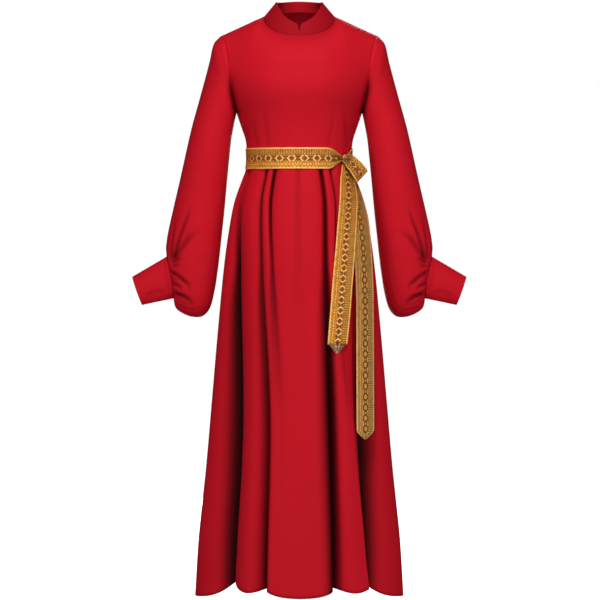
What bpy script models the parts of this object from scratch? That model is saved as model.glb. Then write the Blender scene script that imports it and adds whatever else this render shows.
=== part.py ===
"""Long-sleeved stand-collar maxi dress with a patterned sash, filled out as it is when worn.

Metres, +Z up. The origin is midway between the two points where the collar meets the shoulder
seams, where the wearer's shoulders hold the dress up. The front faces -Y and the wearer's left
is +X. Every piece is one closed wall of cloth, a small gap from its neighbours at each seam.
"""

import math

import bmesh
import bpy
from mathutils import Vector

# Cloth and seams
DRESS_CLOTH = 0.0020
SASH_CLOTH = 0.0016
SEAM_PULL = 0.0005
WAIST_GAP = 0.0004
SHARP_FOLD = 0.6
WAIST_HEIGHT = -0.336
SMOOTH_ANGLE = 50.0


def table(columns, *rows):
    """Rows of values under named columns."""
    names = columns.split()
    return [dict(zip(names, row)) for row in rows]


# Half-sections of the bodice, from the chest down to the waist seam
BODICE_SECTIONS = table(
    "height side front back",
    (-0.140, 0.1660, 0.1230, 0.108),
    (-0.170, 0.1630, 0.1270, 0.107),
    (-0.198, 0.1585, 0.1235, 0.104),
    (-0.219, 0.1530, 0.1170, 0.101),
    (-0.228, 0.1505, 0.1140, 0.100),
    (-0.264, 0.1385, 0.103, 0.094),
    (-0.300, 0.1275, 0.097, 0.088),
    (WAIST_HEIGHT, 0.1255, 0.095, 0.085),
)
CHEST_HEIGHT = -0.140
UNDERARM_HEIGHT = -0.228
ARMHOLE_FRONT = 0.055
ARMHOLE_BACK = 0.060
SHOULDER_TIP = Vector((0.190, 0.0, -0.0445))
NECK_POINT = Vector((0.084, 0.0, 0.004))
NECK_FRONT = Vector((0.0, -0.070, -0.0518))
NECK_BACK = Vector((0.0, 0.055, 0.022))
NECK_FRONT_POWER = 0.8
NECK_BACK_POWER = 1.5
BUST_HEIGHT = -0.168
BUST_X = 0.070
BUST_RISE = 0.006
BUST_SPREAD = 0.040
BODICE_COLUMNS = 24
NECK_COLUMNS = 14
UPPER_ROWS = 5
NECK_ROLL = 60.0
SHOULDER_ROLL = 85.0

# Half-sections of the skirt outside its folds, from the waist seam to the hem
SKIRT_SECTIONS = table(
    "height side front back",
    (WAIST_HEIGHT, 0.1255, 0.095, 0.085),
    (-0.352, 0.1262, 0.097, 0.088),
    (-0.363, 0.1280, 0.099, 0.091),
    (-0.389, 0.1375, 0.106, 0.100),
    (-0.446, 0.1570, 0.121, 0.118),
    (-0.504, 0.1680, 0.133, 0.131),
    (-0.590, 0.1800, 0.147, 0.145),
    (-0.734, 0.1940, 0.160, 0.160),
    (-0.907, 0.2090, 0.175, 0.177),
    (-1.080, 0.2240, 0.190, 0.193),
    (-1.253, 0.2420, 0.205, 0.208),
    (-1.382, 0.2500, 0.215, 0.220),
)
HEM_LINE = table(
    "angle height",
    (0.0, -1.3585),
    (42.0, -1.3560),
    (76.0, -1.3800),
    (90.0, -1.3845),
    (135.0, -1.3680),
    (180.0, -1.3600),
)
HEM_RISE = 0.18

# Folds of the skirt: angles in degrees round from the centre front, depths in metres
SKIRT_FOLDS = table(
    "name at_waist at_hem waist hip knee hem steps",
    ("side_right", -90.0, -90.0, 0.000, 0.000, 0.000, 0.000, 6),
    ("deep_right", -65.5, -61.0, 0.009, 0.022, 0.045, 0.065, 4),
    ("short_right", -43.0, -40.0, 0.005, 0.004, 0.001, 0.000, 4),
    ("inner_right", -29.0, -21.5, 0.007, 0.014, 0.030, 0.042, 6),
    ("centre_front", -1.0, 0.0, 0.004, 0.003, 0.000, 0.000, 6),
    ("inner_left", 27.0, 21.5, 0.007, 0.014, 0.030, 0.042, 4),
    ("short_left", 39.0, 40.0, 0.005, 0.005, 0.001, 0.000, 4),
    ("deep_left", 65.0, 61.0, 0.009, 0.022, 0.045, 0.065, 6),
    ("side_left", 90.0, 90.0, 0.000, 0.000, 0.000, 0.000, 5),
    ("back_left_outer", 109.0, 110.0, 0.007, 0.018, 0.035, 0.050, 5),
    ("back_left_middle", 133.0, 134.0, 0.006, 0.010, 0.024, 0.038, 5),
    ("back_left_inner", 157.0, 156.0, 0.007, 0.015, 0.032, 0.046, 5),
    ("centre_back", 180.0, 180.0, 0.002, 0.004, 0.007, 0.010, 5),
    ("back_right_inner", 202.0, 204.0, 0.007, 0.014, 0.030, 0.043, 5),
    ("back_right_middle", 226.0, 227.0, 0.006, 0.012, 0.026, 0.040, 5),
    ("back_right_outer", 250.0, 250.0, 0.007, 0.017, 0.034, 0.052, 5),
)
FOLD_LEVELS = {"waist": -0.370, "hip": -0.590, "knee": -0.950, "hem": -1.382}
FOLD_AT_SEAM = 0.2
FOLD_POWER = 2.6

# Rings of the wearer's left sleeve, shoulder to cuff: the outer and inner edge seen from the front
SLEEVE_RINGS = table(
    "outer_x outer_z inner_x inner_z depth gather",
    (0.2042, -0.0612, 0.1530, -0.2385, 0.0575, 0.0),
    (0.2153, -0.1056, 0.1548, -0.2460, 0.0570, 0.0),
    (0.2292, -0.1584, 0.1568, -0.2560, 0.0550, 0.0),
    (0.2431, -0.2088, 0.1595, -0.2700, 0.0540, 0.0),
    (0.2594, -0.2688, 0.1634, -0.2928, 0.0550, 0.0),
    (0.2863, -0.3888, 0.1735, -0.3936, 0.0570, 0.0),
    (0.3019, -0.4560, 0.1793, -0.4584, 0.0580, 0.0),
    (0.3156, -0.5184, 0.1862, -0.5232, 0.0590, 0.2),
    (0.3190, -0.5420, 0.1908, -0.5664, 0.0590, 0.4),
    (0.3199, -0.5500, 0.1961, -0.6096, 0.0580, 0.5),
    (0.3199, -0.5560, 0.2033, -0.6552, 0.0560, 0.6),
    (0.3195, -0.5602, 0.2148, -0.6968, 0.0530, 0.8),
    (0.3192, -0.5635, 0.2323, -0.7157, 0.0500, 1.0),
    (0.3190, -0.5662, 0.2563, -0.7171, 0.0470, 1.0),
    (0.3188, -0.5686, 0.2803, -0.7085, 0.0410, 0.8),
    (0.3187, -0.5708, 0.2969, -0.6950, 0.0340, 0.2),
    (0.3187, -0.5726, 0.3019, -0.6730, 0.0240, 0.0),
)
CUFF_HAND_RING = table(
    "outer_x outer_z inner_x inner_z depth gather",
    (0.4008, -0.6209, 0.3770, -0.6888, 0.0240, 0.0),
)[0]
GATHER_COUNT = 12
GATHER_DEPTH = 0.003
CUFF_SEAM_BOW = 0.006
BOW_START = 12
BOW_LENGTH = 3.0

# The stand collar
COLLAR_HALF_WIDTH = 0.0547
COLLAR_FRONT = 0.056
COLLAR_BACK = 0.048
COLLAR_SIDE_TOP = 0.039
COLLAR_BACK_TOP = 0.0475
COLLAR_FRONT_DROP = 0.058
COLLAR_DROP_POWER = 1.35
COLLAR_ROUNDING = 0.0045
COLLAR_ROUNDED_TURN = 20.0
COLLAR_CENTRE_TOP = Vector((0.0, -COLLAR_FRONT, -0.024))
COLLAR_NOTCH_SHARE = 0.12
COLLAR_EXTRA_POINTS = 3
COLLAR_STEPS = 3

# The sash: a band knotted over the wearer's left hip bone
SASH_MIDDLE = -0.338
SASH_TILT = 0.006
SASH_HALF_WIDTH = 0.025
SASH_PINCHED = 0.007
SASH_CLEARANCE = 0.0007
SASH_COLUMNS = 72
SASH_STEPS = 4
KNOT_ANGLE = 55.0
PINCH_FRONT = 24.0
PINCH_BACK = 28.0
KNOT_HEIGHT = -0.344
KNOT_SIZE = Vector((0.010, 0.0062, 0.0118))
KNOT_STAND_OFF = 0.0088
KNOT_SQUARENESS = 0.75
KNOT_STEPS = 8
KNOT_POINTS = 14
KNOT_TIP = 0.08

LOOP_PATH = table(
    "along off width",
    (0.0120, 0.0035, 0.016),
    (0.0260, 0.0080, 0.029),
    (0.0420, 0.0105, 0.038),
    (0.0530, 0.0115, 0.041),
    (0.0565, 0.0138, 0.041),
    (0.0535, 0.0160, 0.041),
    (0.0420, 0.0178, 0.041),
    (0.0240, 0.0172, 0.038),
    (0.0080, 0.0135, 0.034),
    (-0.0070, 0.0088, 0.026),
)
LOOP_TURN = 32.0
LOOP_SLOPE = 47.0
LOOP_COLUMNS = 4

# The hanging ends, as rows of centre, width and turn in degrees from facing the front
TAIL_COLUMNS = "height x width turn gap"
SHORT_TAIL = table(
    TAIL_COLUMNS,
    (-0.3565, 0.1100, 0.024, 46.0, 0.0120),
    (-0.3740, 0.1122, 0.036, 46.0, 0.0120),
    (-0.3960, 0.1146, 0.048, 43.0, 0.0115),
    (-0.4334, 0.1165, 0.050, 32.0, 0.0090),
    (-0.5153, 0.1114, 0.050, 22.0, 0.0036),
    (-0.6206, 0.1024, 0.050, 17.0, 0.0026),
    (-0.7260, 0.0936, 0.050, 17.0, 0.0026),
    (-0.7798, 0.0886, 0.049, 19.0, 0.0026),
    (-0.7815, 0.0850, 0.032, 19.0, 0.0026),
    (-0.8008, 0.0862, 0.003, 19.0, 0.0026),
)
LONG_TAIL = table(
    TAIL_COLUMNS,
    (-0.3565, 0.1205, 0.024, 52.0, 0.0078),
    (-0.3740, 0.1225, 0.034, 52.0, 0.0078),
    (-0.4040, 0.1250, 0.044, 50.0, 0.0050),
    (-0.4487, 0.1370, 0.050, 42.0, 0.0028),
    (-0.4933, 0.1450, 0.050, 36.0, 0.0018),
    (-0.5780, 0.1514, 0.050, 34.0, 0.0018),
    (-0.6839, 0.1543, 0.050, 33.0, 0.0018),
    (-0.8085, 0.1543, 0.050, 33.0, 0.0018),
    (-0.9779, 0.1543, 0.050, 33.0, 0.0018),
    (-1.0019, 0.1543, 0.003, 33.0, 0.0018),
)
TAIL_STEPS = 4
TAIL_PROBES = 8


def read(rows, key, value, column):
    """The column's value at a key, along a smooth curve that never overshoots its rows."""
    keys = [row[key] for row in rows]
    values = [row[column] for row in rows]
    if keys[0] > keys[-1]:
        keys.reverse()
        values.reverse()
    value = min(max(value, keys[0]), keys[-1])
    spot = 0
    while spot < len(keys) - 2 and value > keys[spot + 1]:
        spot += 1
    slopes = [(values[i + 1] - values[i]) / (keys[i + 1] - keys[i]) for i in range(len(keys) - 1)]

    def tangent(i):
        before = slopes[max(i - 1, 0)]
        after = slopes[min(i, len(slopes) - 1)]
        if before * after <= 0.0:
            return 0.0
        return 2.0 * before * after / (before + after)

    span = keys[spot + 1] - keys[spot]
    t = (value - keys[spot]) / span
    start = tangent(spot) * span
    end = tangent(spot + 1) * span
    low = values[spot]
    rise = values[spot + 1] - low
    squared = 3.0 * rise - 2.0 * start - end
    cubed = start + end - 2.0 * rise
    return low + start * t + squared * t ** 2 + cubed * t ** 3


def smooth(t):
    """Eases a number from 0 to 1."""
    t = min(max(t, 0.0), 1.0)
    return t * t * (3.0 - 2.0 * t)


# The bodice

def armhole_edge(height, half_depth):
    """How far the lower armhole stands from the side, at a height up to the chest."""
    reach = (height - CHEST_HEIGHT) / (CHEST_HEIGHT - UNDERARM_HEIGHT)
    return half_depth * math.sqrt(max(1.0 - reach * reach, 0.0))


def bodice_section_point(facing, across, height):
    """A point of the bodice below the chest; across runs from -1 to 1 and facing is -1 in front."""
    side = read(BODICE_SECTIONS, "height", height, "side")
    depth = read(BODICE_SECTIONS, "height", height, "front" if facing < 0 else "back")
    edge = 0.0
    if height > UNDERARM_HEIGHT:
        edge = armhole_edge(height, ARMHOLE_FRONT if facing < 0 else ARMHOLE_BACK)
    widest = math.acos(edge / depth)
    angle = across * widest
    x = side * math.sin(angle) / math.sin(widest)
    y = facing * depth * math.cos(angle)
    if facing < 0:
        lift = math.exp(-((height - BUST_HEIGHT) / BUST_SPREAD) ** 2)
        swell = math.exp(-((abs(x) - BUST_X) / BUST_SPREAD) ** 2)
        y -= BUST_RISE * lift * swell * (1.0 - across ** 4)
    return Vector((x, y, height))


def neckline_point(facing, turn):
    """A point of the neckline; turn is 0 at the centre and 90 degrees at the shoulder."""
    centre = NECK_FRONT if facing < 0 else NECK_BACK
    along = math.cos(math.radians(turn))
    fall = abs(along) ** (NECK_FRONT_POWER if facing < 0 else NECK_BACK_POWER)
    return Vector((
        NECK_POINT.x * math.sin(math.radians(turn)),
        centre.y * along,
        NECK_POINT.z + (centre.z - NECK_POINT.z) * fall,
    ))


def bodice_top_point(facing, across):
    """A point of the bodice's upper edge: the neckline, then the shoulder seam."""
    neck_share = NECK_COLUMNS / BODICE_COLUMNS
    if abs(across) <= neck_share + 1e-6:
        return neckline_point(facing, 90.0 * across / neck_share)
    share = (abs(across) - neck_share) / (1.0 - neck_share)
    point = NECK_POINT.lerp(SHOULDER_TIP, share)
    point.x = math.copysign(point.x, across)
    return point


def bodice_upper_point(facing, across, rise):
    """A point between the chest and the upper edge, on an arc that rolls over the shoulder."""
    neck_share = NECK_COLUMNS / BODICE_COLUMNS
    chest = bodice_section_point(facing, across, CHEST_HEIGHT)
    top = bodice_top_point(facing, across)
    towards = min(abs(across) / neck_share, 1.0)
    roll = math.radians(NECK_ROLL + (SHOULDER_ROLL - NECK_ROLL) * towards)
    level = (1.0 - math.cos(roll * rise)) / (1.0 - math.cos(roll))
    lift = math.sin(roll * rise) / math.sin(roll)
    return Vector((
        chest.x + (top.x - chest.x) * level,
        chest.y + (top.y - chest.y) * level,
        chest.z + (top.z - chest.z) * lift,
    ))


def bodice_rows(facing, start, end):
    """The bodice from its upper edge down to the waist seam, between two columns."""
    rows = []
    places = columns_across(facing, start, end)
    for k in range(UPPER_ROWS, 0, -1):
        rows.append([bodice_upper_point(facing, across, k / UPPER_ROWS) for across in places])
    for section in BODICE_SECTIONS:
        height = section["height"]
        rows.append([bodice_section_point(facing, across, height) for across in places])
    for point in rows[-1]:
        point.z += WAIST_GAP / 2.0
    return rows


def columns_across(facing, start, end):
    """Places across the bodice, in order round the body from its right front to its right back."""
    return [-facing * (2.0 * j / BODICE_COLUMNS - 1.0) for j in range(start, end + 1)]


# The skirt

def envelope_point(angle, height):
    """The body's outline at an angle in degrees from the centre front, outside every fold."""
    rows = BODICE_SECTIONS if height > WAIST_HEIGHT else SKIRT_SECTIONS
    turn = math.radians(angle)
    side = read(rows, "height", height, "side")
    depth = read(rows, "height", height, "front" if math.cos(turn) > 0.0 else "back")
    return Vector((side * math.sin(turn), -depth * math.cos(turn), height))


def outward(angle, height):
    """The level direction that faces out from the body's outline."""
    ahead = envelope_point(angle + 0.5, height)
    behind = envelope_point(angle - 0.5, height)
    along = ahead - behind
    return Vector((along.y, -along.x, 0.0)).normalized()


def fold_depth(fold, height):
    """How deep one fold is at a height."""
    levels = [{"height": WAIST_HEIGHT, "depth": fold["waist"] * FOLD_AT_SEAM}]
    for level, at in FOLD_LEVELS.items():
        levels.append({"height": at, "depth": fold[level]})
    return read(levels, "height", height, "depth")


def fold_angle(index, height):
    """The angle of a fold's valley at a height; the count goes on past a full turn."""
    turns, place = divmod(index, len(SKIRT_FOLDS))
    fold = SKIRT_FOLDS[place]
    fallen = smooth((WAIST_HEIGHT - height) / (WAIST_HEIGHT - FOLD_LEVELS["hem"]))
    return fold["at_waist"] + (fold["at_hem"] - fold["at_waist"]) * fallen + 360.0 * turns


def skirt_point(index, share, height, is_hem):
    """A point a share of the way from one fold's valley to the next."""
    angle = fold_angle(index, height) * (1.0 - share) + fold_angle(index + 1, height) * share
    here = SKIRT_FOLDS[index % len(SKIRT_FOLDS)]
    following = SKIRT_FOLDS[(index + 1) % len(SKIRT_FOLDS)]
    depth = fold_depth(here, height) * (1.0 - share) ** FOLD_POWER
    depth += fold_depth(following, height) * share ** FOLD_POWER
    point = envelope_point(angle, height) - outward(angle, height) * depth
    if is_hem:
        from_front = abs((angle + 180.0) % 360.0 - 180.0)
        point.z = read(HEM_LINE, "angle", from_front, "height") + HEM_RISE * depth
    return point


def skirt_rows(first, last):
    """The skirt from its waist seam down to the hem, between two folds."""
    rows = []
    for section in SKIRT_SECTIONS:
        height = section["height"]
        is_hem = section is SKIRT_SECTIONS[-1]
        row = []
        for index in range(first, last):
            steps = SKIRT_FOLDS[index]["steps"]
            row += [skirt_point(index, k / steps, height, is_hem) for k in range(steps)]
        row.append(skirt_point(last, 0.0, height, is_hem))
        rows.append(row)
    for point in rows[0]:
        point.z -= WAIST_GAP / 2.0
    return rows


# Sleeves and cuffs

def armhole_points():
    """The wearer's left armhole, from the underarm up the front, over the tip and down the back."""
    front = []
    back = []
    for section in reversed(BODICE_SECTIONS):
        height = section["height"]
        if UNDERARM_HEIGHT <= height:
            front.append(bodice_section_point(-1, 1.0, height))
            back.append(bodice_section_point(1, 1.0, height))
    for k in range(1, UPPER_ROWS + 1):
        front.append(bodice_upper_point(-1, 1.0, k / UPPER_ROWS))
        back.append(bodice_upper_point(1, 1.0, k / UPPER_ROWS))
    return front + back[-2:0:-1]


def with_midpoints(points):
    """The same closed outline with a point added at the middle of each side."""
    ring = []
    for here, following in zip(points, points[1:] + points[:1]):
        ring.append(here)
        ring.append((here + following) / 2.0)
    return ring


def sleeve_angles():
    """Angles round a sleeve ring, 0 at the inner edge, 90 in front, matched to the armhole's points."""
    lower = 2 * sum(1 for section in BODICE_SECTIONS if UNDERARM_HEIGHT <= section["height"] < CHEST_HEIGHT)
    upper = 2 * UPPER_ROWS
    half = [90.0 * k / lower for k in range(lower)]
    half += [90.0 + 90.0 * k / upper for k in range(upper)]
    return half + [360.0 - a for a in [180.0] + half[:0:-1]]


def ring_point(ring, angle, gathers, bow):
    """A point of a sleeve or cuff ring, rippled by the gathers and bowed towards the sleeve."""
    turn = math.radians(angle)
    outer = Vector((ring["outer_x"], 0.0, ring["outer_z"]))
    inner = Vector((ring["inner_x"], 0.0, ring["inner_z"]))
    reach = (outer - inner) / 2.0
    away = Vector((-reach.z, 0.0, reach.x)).normalized()
    ripple = 1.0 - GATHER_DEPTH * ring["gather"] * (1.0 - math.cos(gathers * turn)) / reach.length
    point = (outer + inner) / 2.0
    point -= reach * math.cos(turn) * ripple
    point.y -= ring["depth"] * math.sin(turn) * ripple
    return point + away * bow * math.sin(turn) ** 2


def sleeve_rows():
    """The wearer's left sleeve from the armhole down to the cuff seam."""
    rows = [with_midpoints(armhole_points())]
    for place, ring in enumerate(SLEEVE_RINGS):
        bow = CUFF_SEAM_BOW * smooth((place - BOW_START) / BOW_LENGTH)
        rows.append([ring_point(ring, a, GATHER_COUNT, bow) for a in sleeve_angles()])
    return rows


def cuff_rows():
    """The wearer's left cuff from its seam to the hand opening."""
    seam = [ring_point(SLEEVE_RINGS[-1], a, GATHER_COUNT, CUFF_SEAM_BOW) for a in sleeve_angles()]
    hand = [ring_point(CUFF_HAND_RING, a, GATHER_COUNT, 0.0) for a in sleeve_angles()]
    middle = [a.lerp(b, 0.5) for a, b in zip(seam, hand)]
    return [seam, middle, hand]


def mirrored(rows):
    """The same rings on the wearer's right, still in order round the body."""
    turned = []
    for row in rows:
        flipped = [Vector((-point.x, point.y, point.z)) for point in row]
        turned.append(flipped[:1] + flipped[:0:-1])
    return turned


# The collar

def collar_turns():
    """Turns round the neck in degrees from the centre front, closer together beside the notch."""
    half = 90.0 / (NECK_COLUMNS / 2)
    turns = []
    for k in range(2 * NECK_COLUMNS):
        turns.append(k * half)
        if k in (0, 2 * NECK_COLUMNS - 1):
            turns += [(k + j / COLLAR_EXTRA_POINTS) * half for j in range(1, COLLAR_EXTRA_POINTS)]
    return turns


def collar_base_point(turn):
    """A point of the neckline polygon at a turn from the centre front."""
    half = 90.0 / (NECK_COLUMNS / 2)
    before = math.floor(turn / half + 1e-6) * half
    share = (turn - before) / half

    def corner(at):
        at = at % 360.0
        if at <= 90.0 or at >= 270.0:
            return neckline_point(-1, at if at <= 90.0 else at - 360.0)
        return neckline_point(1, 180.0 - at)

    if share < 1e-6:
        return corner(before)
    return corner(before).lerp(corner(before + half), share)


def collar_top_point(turn):
    """A point of the collar's upper edge, which is rounded off beside the notch at the centre front."""
    angle = math.radians(turn)
    ahead = math.cos(angle)
    from_front = min(turn, 360.0 - turn)
    if ahead > 0.0:
        height = COLLAR_SIDE_TOP - COLLAR_FRONT_DROP * ahead ** COLLAR_DROP_POWER
        height -= COLLAR_ROUNDING * max(1.0 - from_front / COLLAR_ROUNDED_TURN, 0.0)
        y = -COLLAR_FRONT * ahead
    else:
        height = COLLAR_SIDE_TOP + (COLLAR_BACK_TOP - COLLAR_SIDE_TOP) * ahead ** 2
        y = -COLLAR_BACK * ahead
    return Vector((COLLAR_HALF_WIDTH * math.sin(angle), y, height))


def collar_rows():
    """The collar from its upper edge, with the notch cut into it, down to the neckline."""
    turns = collar_turns()
    base = [collar_base_point(turn) for turn in turns]
    top = [collar_top_point(turn) for turn in turns]
    top[0] = base[0].lerp(COLLAR_CENTRE_TOP, COLLAR_NOTCH_SHARE)
    rows = []
    for k in range(COLLAR_STEPS + 1):
        rows.append([a.lerp(b, k / COLLAR_STEPS) for a, b in zip(top, base)])
    return rows


# The sash

def sash_half_width(angle):
    """Half the band's width at an angle, drawn in towards the knot."""
    away = (angle - KNOT_ANGLE + 180.0) % 360.0 - 180.0
    reach = PINCH_FRONT if away < 0.0 else PINCH_BACK
    open_share = smooth(abs(away) / reach)
    return SASH_PINCHED + (SASH_HALF_WIDTH - SASH_PINCHED) * open_share


def moved_out(angle, height, distance):
    """A point on the body's outline, moved out level."""
    return envelope_point(angle, height) + outward(angle, height) * distance


def band_rows():
    """The band round the waist, from its upper edge down."""
    rows = []
    for k in range(SASH_STEPS + 1):
        row = []
        for j in range(SASH_COLUMNS):
            angle = 360.0 * j / SASH_COLUMNS
            half = sash_half_width(angle)
            middle = SASH_MIDDLE - SASH_TILT * math.cos(math.radians(angle))
            height = middle + half * (1.0 - 2.0 * k / SASH_STEPS)
            row.append(moved_out(angle, height, SASH_CLEARANCE + SASH_CLOTH))
        rows.append(row)
    return rows


def loop_rows():
    """The flap of the half bow: out from the knot, folded at its end and back over the knot."""
    slope = math.radians(LOOP_SLOPE)
    turn = math.radians(LOOP_TURN)
    centre = moved_out(KNOT_ANGLE, KNOT_HEIGHT, KNOT_STAND_OFF)
    across = Vector((math.cos(turn), math.sin(turn), 0.0))
    out = Vector((math.sin(turn), -math.cos(turn), 0.0))
    rows = []
    for row in LOOP_PATH:
        points = []
        for k in range(LOOP_COLUMNS + 1):
            over = row["width"] * (k / LOOP_COLUMNS - 0.5)
            sideways = row["along"] * math.cos(slope) - over * math.sin(slope)
            down = row["along"] * math.sin(slope) + over * math.cos(slope)
            points.append(centre + across * sideways + out * row["off"] - Vector((0.0, 0.0, down)))
        rows.append(points)
    return rows


def tail_rows(tail):
    """A hanging end: each row stands off the skirt by its gap at its nearest point."""
    rows = []
    for row in tail:
        turn = math.radians(row["turn"])
        across = Vector((math.cos(turn), math.sin(turn), 0.0))
        nearest = 1.0
        for k in range(TAIL_PROBES + 1):
            over = row["width"] * (k / TAIL_PROBES - 0.5)
            spot = Vector((row["x"], 0.0, row["height"])) + across * over
            side = read(SKIRT_SECTIONS, "height", row["height"], "side")
            depth = read(SKIRT_SECTIONS, "height", row["height"], "front")
            wall = -depth * math.sqrt(max(1.0 - (spot.x / side) ** 2, 0.0))
            nearest = min(nearest, wall - row["gap"] - across.y * over)
        centre = Vector((row["x"], nearest, row["height"]))
        rows.append([centre + across * row["width"] * (k / TAIL_STEPS - 0.5) for k in range(TAIL_STEPS + 1)])
    return rows


def knot_rows():
    """The knot, a rounded lump, as rings from its top to its bottom."""
    centre = moved_out(KNOT_ANGLE, KNOT_HEIGHT, KNOT_STAND_OFF)
    out = outward(KNOT_ANGLE, KNOT_HEIGHT)
    along = Vector((-out.y, out.x, 0.0))
    rows = []
    for k in range(1, KNOT_STEPS):
        tilt = math.pi * k / KNOT_STEPS
        row = []
        for j in range(KNOT_POINTS):
            turn = 2.0 * math.pi * j / KNOT_POINTS
            reach = math.sin(tilt) ** KNOT_SQUARENESS
            side = math.copysign(abs(math.sin(turn)) ** KNOT_SQUARENESS, math.sin(turn))
            front = math.copysign(abs(math.cos(turn)) ** KNOT_SQUARENESS, math.cos(turn))
            point = centre + along * KNOT_SIZE.x * side * reach + out * KNOT_SIZE.y * front * reach
            row.append(point + Vector((0.0, 0.0, KNOT_SIZE.z * math.cos(tilt))))
        rows.append(row)
    return rows


# Building walls from rows of points

def key_of(point):
    """A point rounded, so that pieces that share it agree on its name."""
    return tuple(round(value, 6) for value in point)


def add_normals(totals, rows, closed):
    """Adds each face's outward direction to its corners, so that a seam's pieces share one mitre."""
    count = len(rows[0])
    last = count if closed else count - 1
    for upper, lower in zip(rows, rows[1:]):
        for j in range(last):
            k = (j + 1) % count
            facing = (lower[j] - upper[k]).cross(lower[k] - upper[j])
            if facing.length > 1e-12:
                facing.normalize()
            for point in (upper[j], upper[k], lower[j], lower[k]):
                total = totals.setdefault(key_of(point), Vector())
                total += facing
    return totals


def wall_normals(rows, totals, closed):
    """The mitre directions of a wall's points, or the wall's own where a seam folds back sharply."""
    own = add_normals({}, rows, closed)
    result = []
    for row in rows:
        facing = []
        for point in row:
            mitre = totals[key_of(point)].normalized()
            alone = own[key_of(point)].normalized()
            facing.append(mitre if mitre.dot(alone) > SHARP_FOLD else alone)
        result.append(facing)
    return result


def level_normals(normals):
    """Directions turned level, for an edge that meets another wall end to end."""
    return [Vector((n.x, n.y, 0.0)).normalized() for n in normals]


def between_neighbours(normals, is_shared):
    """Directions of added points taken from the shared points on both sides of them."""
    count = len(normals)
    result = list(normals)
    for j in range(count):
        if is_shared(j):
            continue
        before = j
        while not is_shared(before % count):
            before -= 1
        after = j
        while not is_shared(after % count):
            after += 1
        share = (j - before) / (after - before)
        result[j] = normals[before % count] * (1.0 - share) + normals[after % count] * share
    return result


def pulled_in(outer, inner, closed, pull):
    """Draws a wall's edges back from its seams: pull names top, bottom, left and right."""
    for layer in (outer, inner):
        moves = []
        for edge, near in (("top", 1), ("bottom", len(layer) - 2)):
            row = 0 if edge == "top" else len(layer) - 1
            distance = pull.get(edge, 0.0)
            for j in range(len(layer[row])):
                step = (layer[near][j] - layer[row][j]).normalized() * distance
                moves.append((layer[row][j], step))
        if not closed:
            for i in range(len(layer)):
                for edge, here, near in (("left", 0, 1), ("right", -1, -2)):
                    step = (layer[i][near] - layer[i][here]).normalized() * pull.get(edge, 0.0)
                    moves.append((layer[i][here], step))
        for point, step in moves:
            point += step


def build_wall(name, rows, normals, thickness, closed, pull, material):
    """One closed wall of cloth: the outer points, and the inner ones a thickness behind them."""
    outer = [[point.copy() for point in row] for row in rows]
    inner = [
        [point - normal * thickness for point, normal in zip(row, facing)]
        for row, facing in zip(rows, normals)
    ]
    pulled_in(outer, inner, closed, pull)
    shape = bmesh.new()
    front = [[shape.verts.new(point) for point in row] for row in outer]
    behind = [[shape.verts.new(point) for point in row] for row in inner]
    count = len(rows[0])
    last = count if closed else count - 1
    for i in range(len(rows) - 1):
        for j in range(last):
            k = (j + 1) % count
            shape.faces.new((front[i][j], front[i + 1][j], front[i + 1][k], front[i][k]))
            shape.faces.new((behind[i][j], behind[i][k], behind[i + 1][k], behind[i + 1][j]))
    for i in (0, len(rows) - 1):
        for j in range(last):
            k = (j + 1) % count
            shape.faces.new((front[i][j], front[i][k], behind[i][k], behind[i][j]))
    if not closed:
        for j in (0, count - 1):
            for i in range(len(rows) - 1):
                shape.faces.new((front[i][j], front[i + 1][j], behind[i + 1][j], behind[i][j]))
    return finish_piece(name, shape, material)


def build_lump(name, rows, material):
    """One closed rounded piece from its rings, shut by a fan at each end."""
    shape = bmesh.new()
    rings = [[shape.verts.new(point) for point in row] for row in rows]
    count = len(rows[0])
    for upper, lower in zip(rings, rings[1:]):
        for j in range(count):
            k = (j + 1) % count
            shape.faces.new((upper[j], lower[j], lower[k], upper[k]))
    heart = sum(rows[len(rows) // 2], Vector()) / count
    for end in (0, -1):
        middle = sum(rows[end], Vector()) / count
        tip = shape.verts.new(middle + (middle - heart) * KNOT_TIP)
        for j in range(count):
            shape.faces.new((rings[end][j], rings[end][(j + 1) % count], tip))
    return finish_piece(name, shape, material)


def finish_piece(name, shape, material):
    """Turns a shape into a named object with its faces pointing out."""
    bmesh.ops.recalc_face_normals(shape, faces=shape.faces)
    bmesh.ops.triangulate(shape, faces=shape.faces)
    mesh = bpy.data.meshes.new(name)
    shape.to_mesh(mesh)
    shape.free()
    mesh.shade_smooth()
    mesh.set_sharp_from_angle(angle=math.radians(SMOOTH_ANGLE))
    mesh.materials.append(material)
    piece = bpy.data.objects.new(name, mesh)
    bpy.context.scene.collection.objects.link(piece)
    return piece


def make_material(name, colour, roughness, metallic):
    """A plain surface of one colour."""
    material = bpy.data.materials.new(name)
    material.use_nodes = True
    shader = material.node_tree.nodes["Principled BSDF"]
    shader.inputs["Base Color"].default_value = (*colour, 1.0)
    shader.inputs["Roughness"].default_value = roughness
    shader.inputs["Metallic"].default_value = metallic
    return material


# The whole dress

def clear_scene():
    for piece in list(bpy.data.objects):
        bpy.data.objects.remove(piece)


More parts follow.
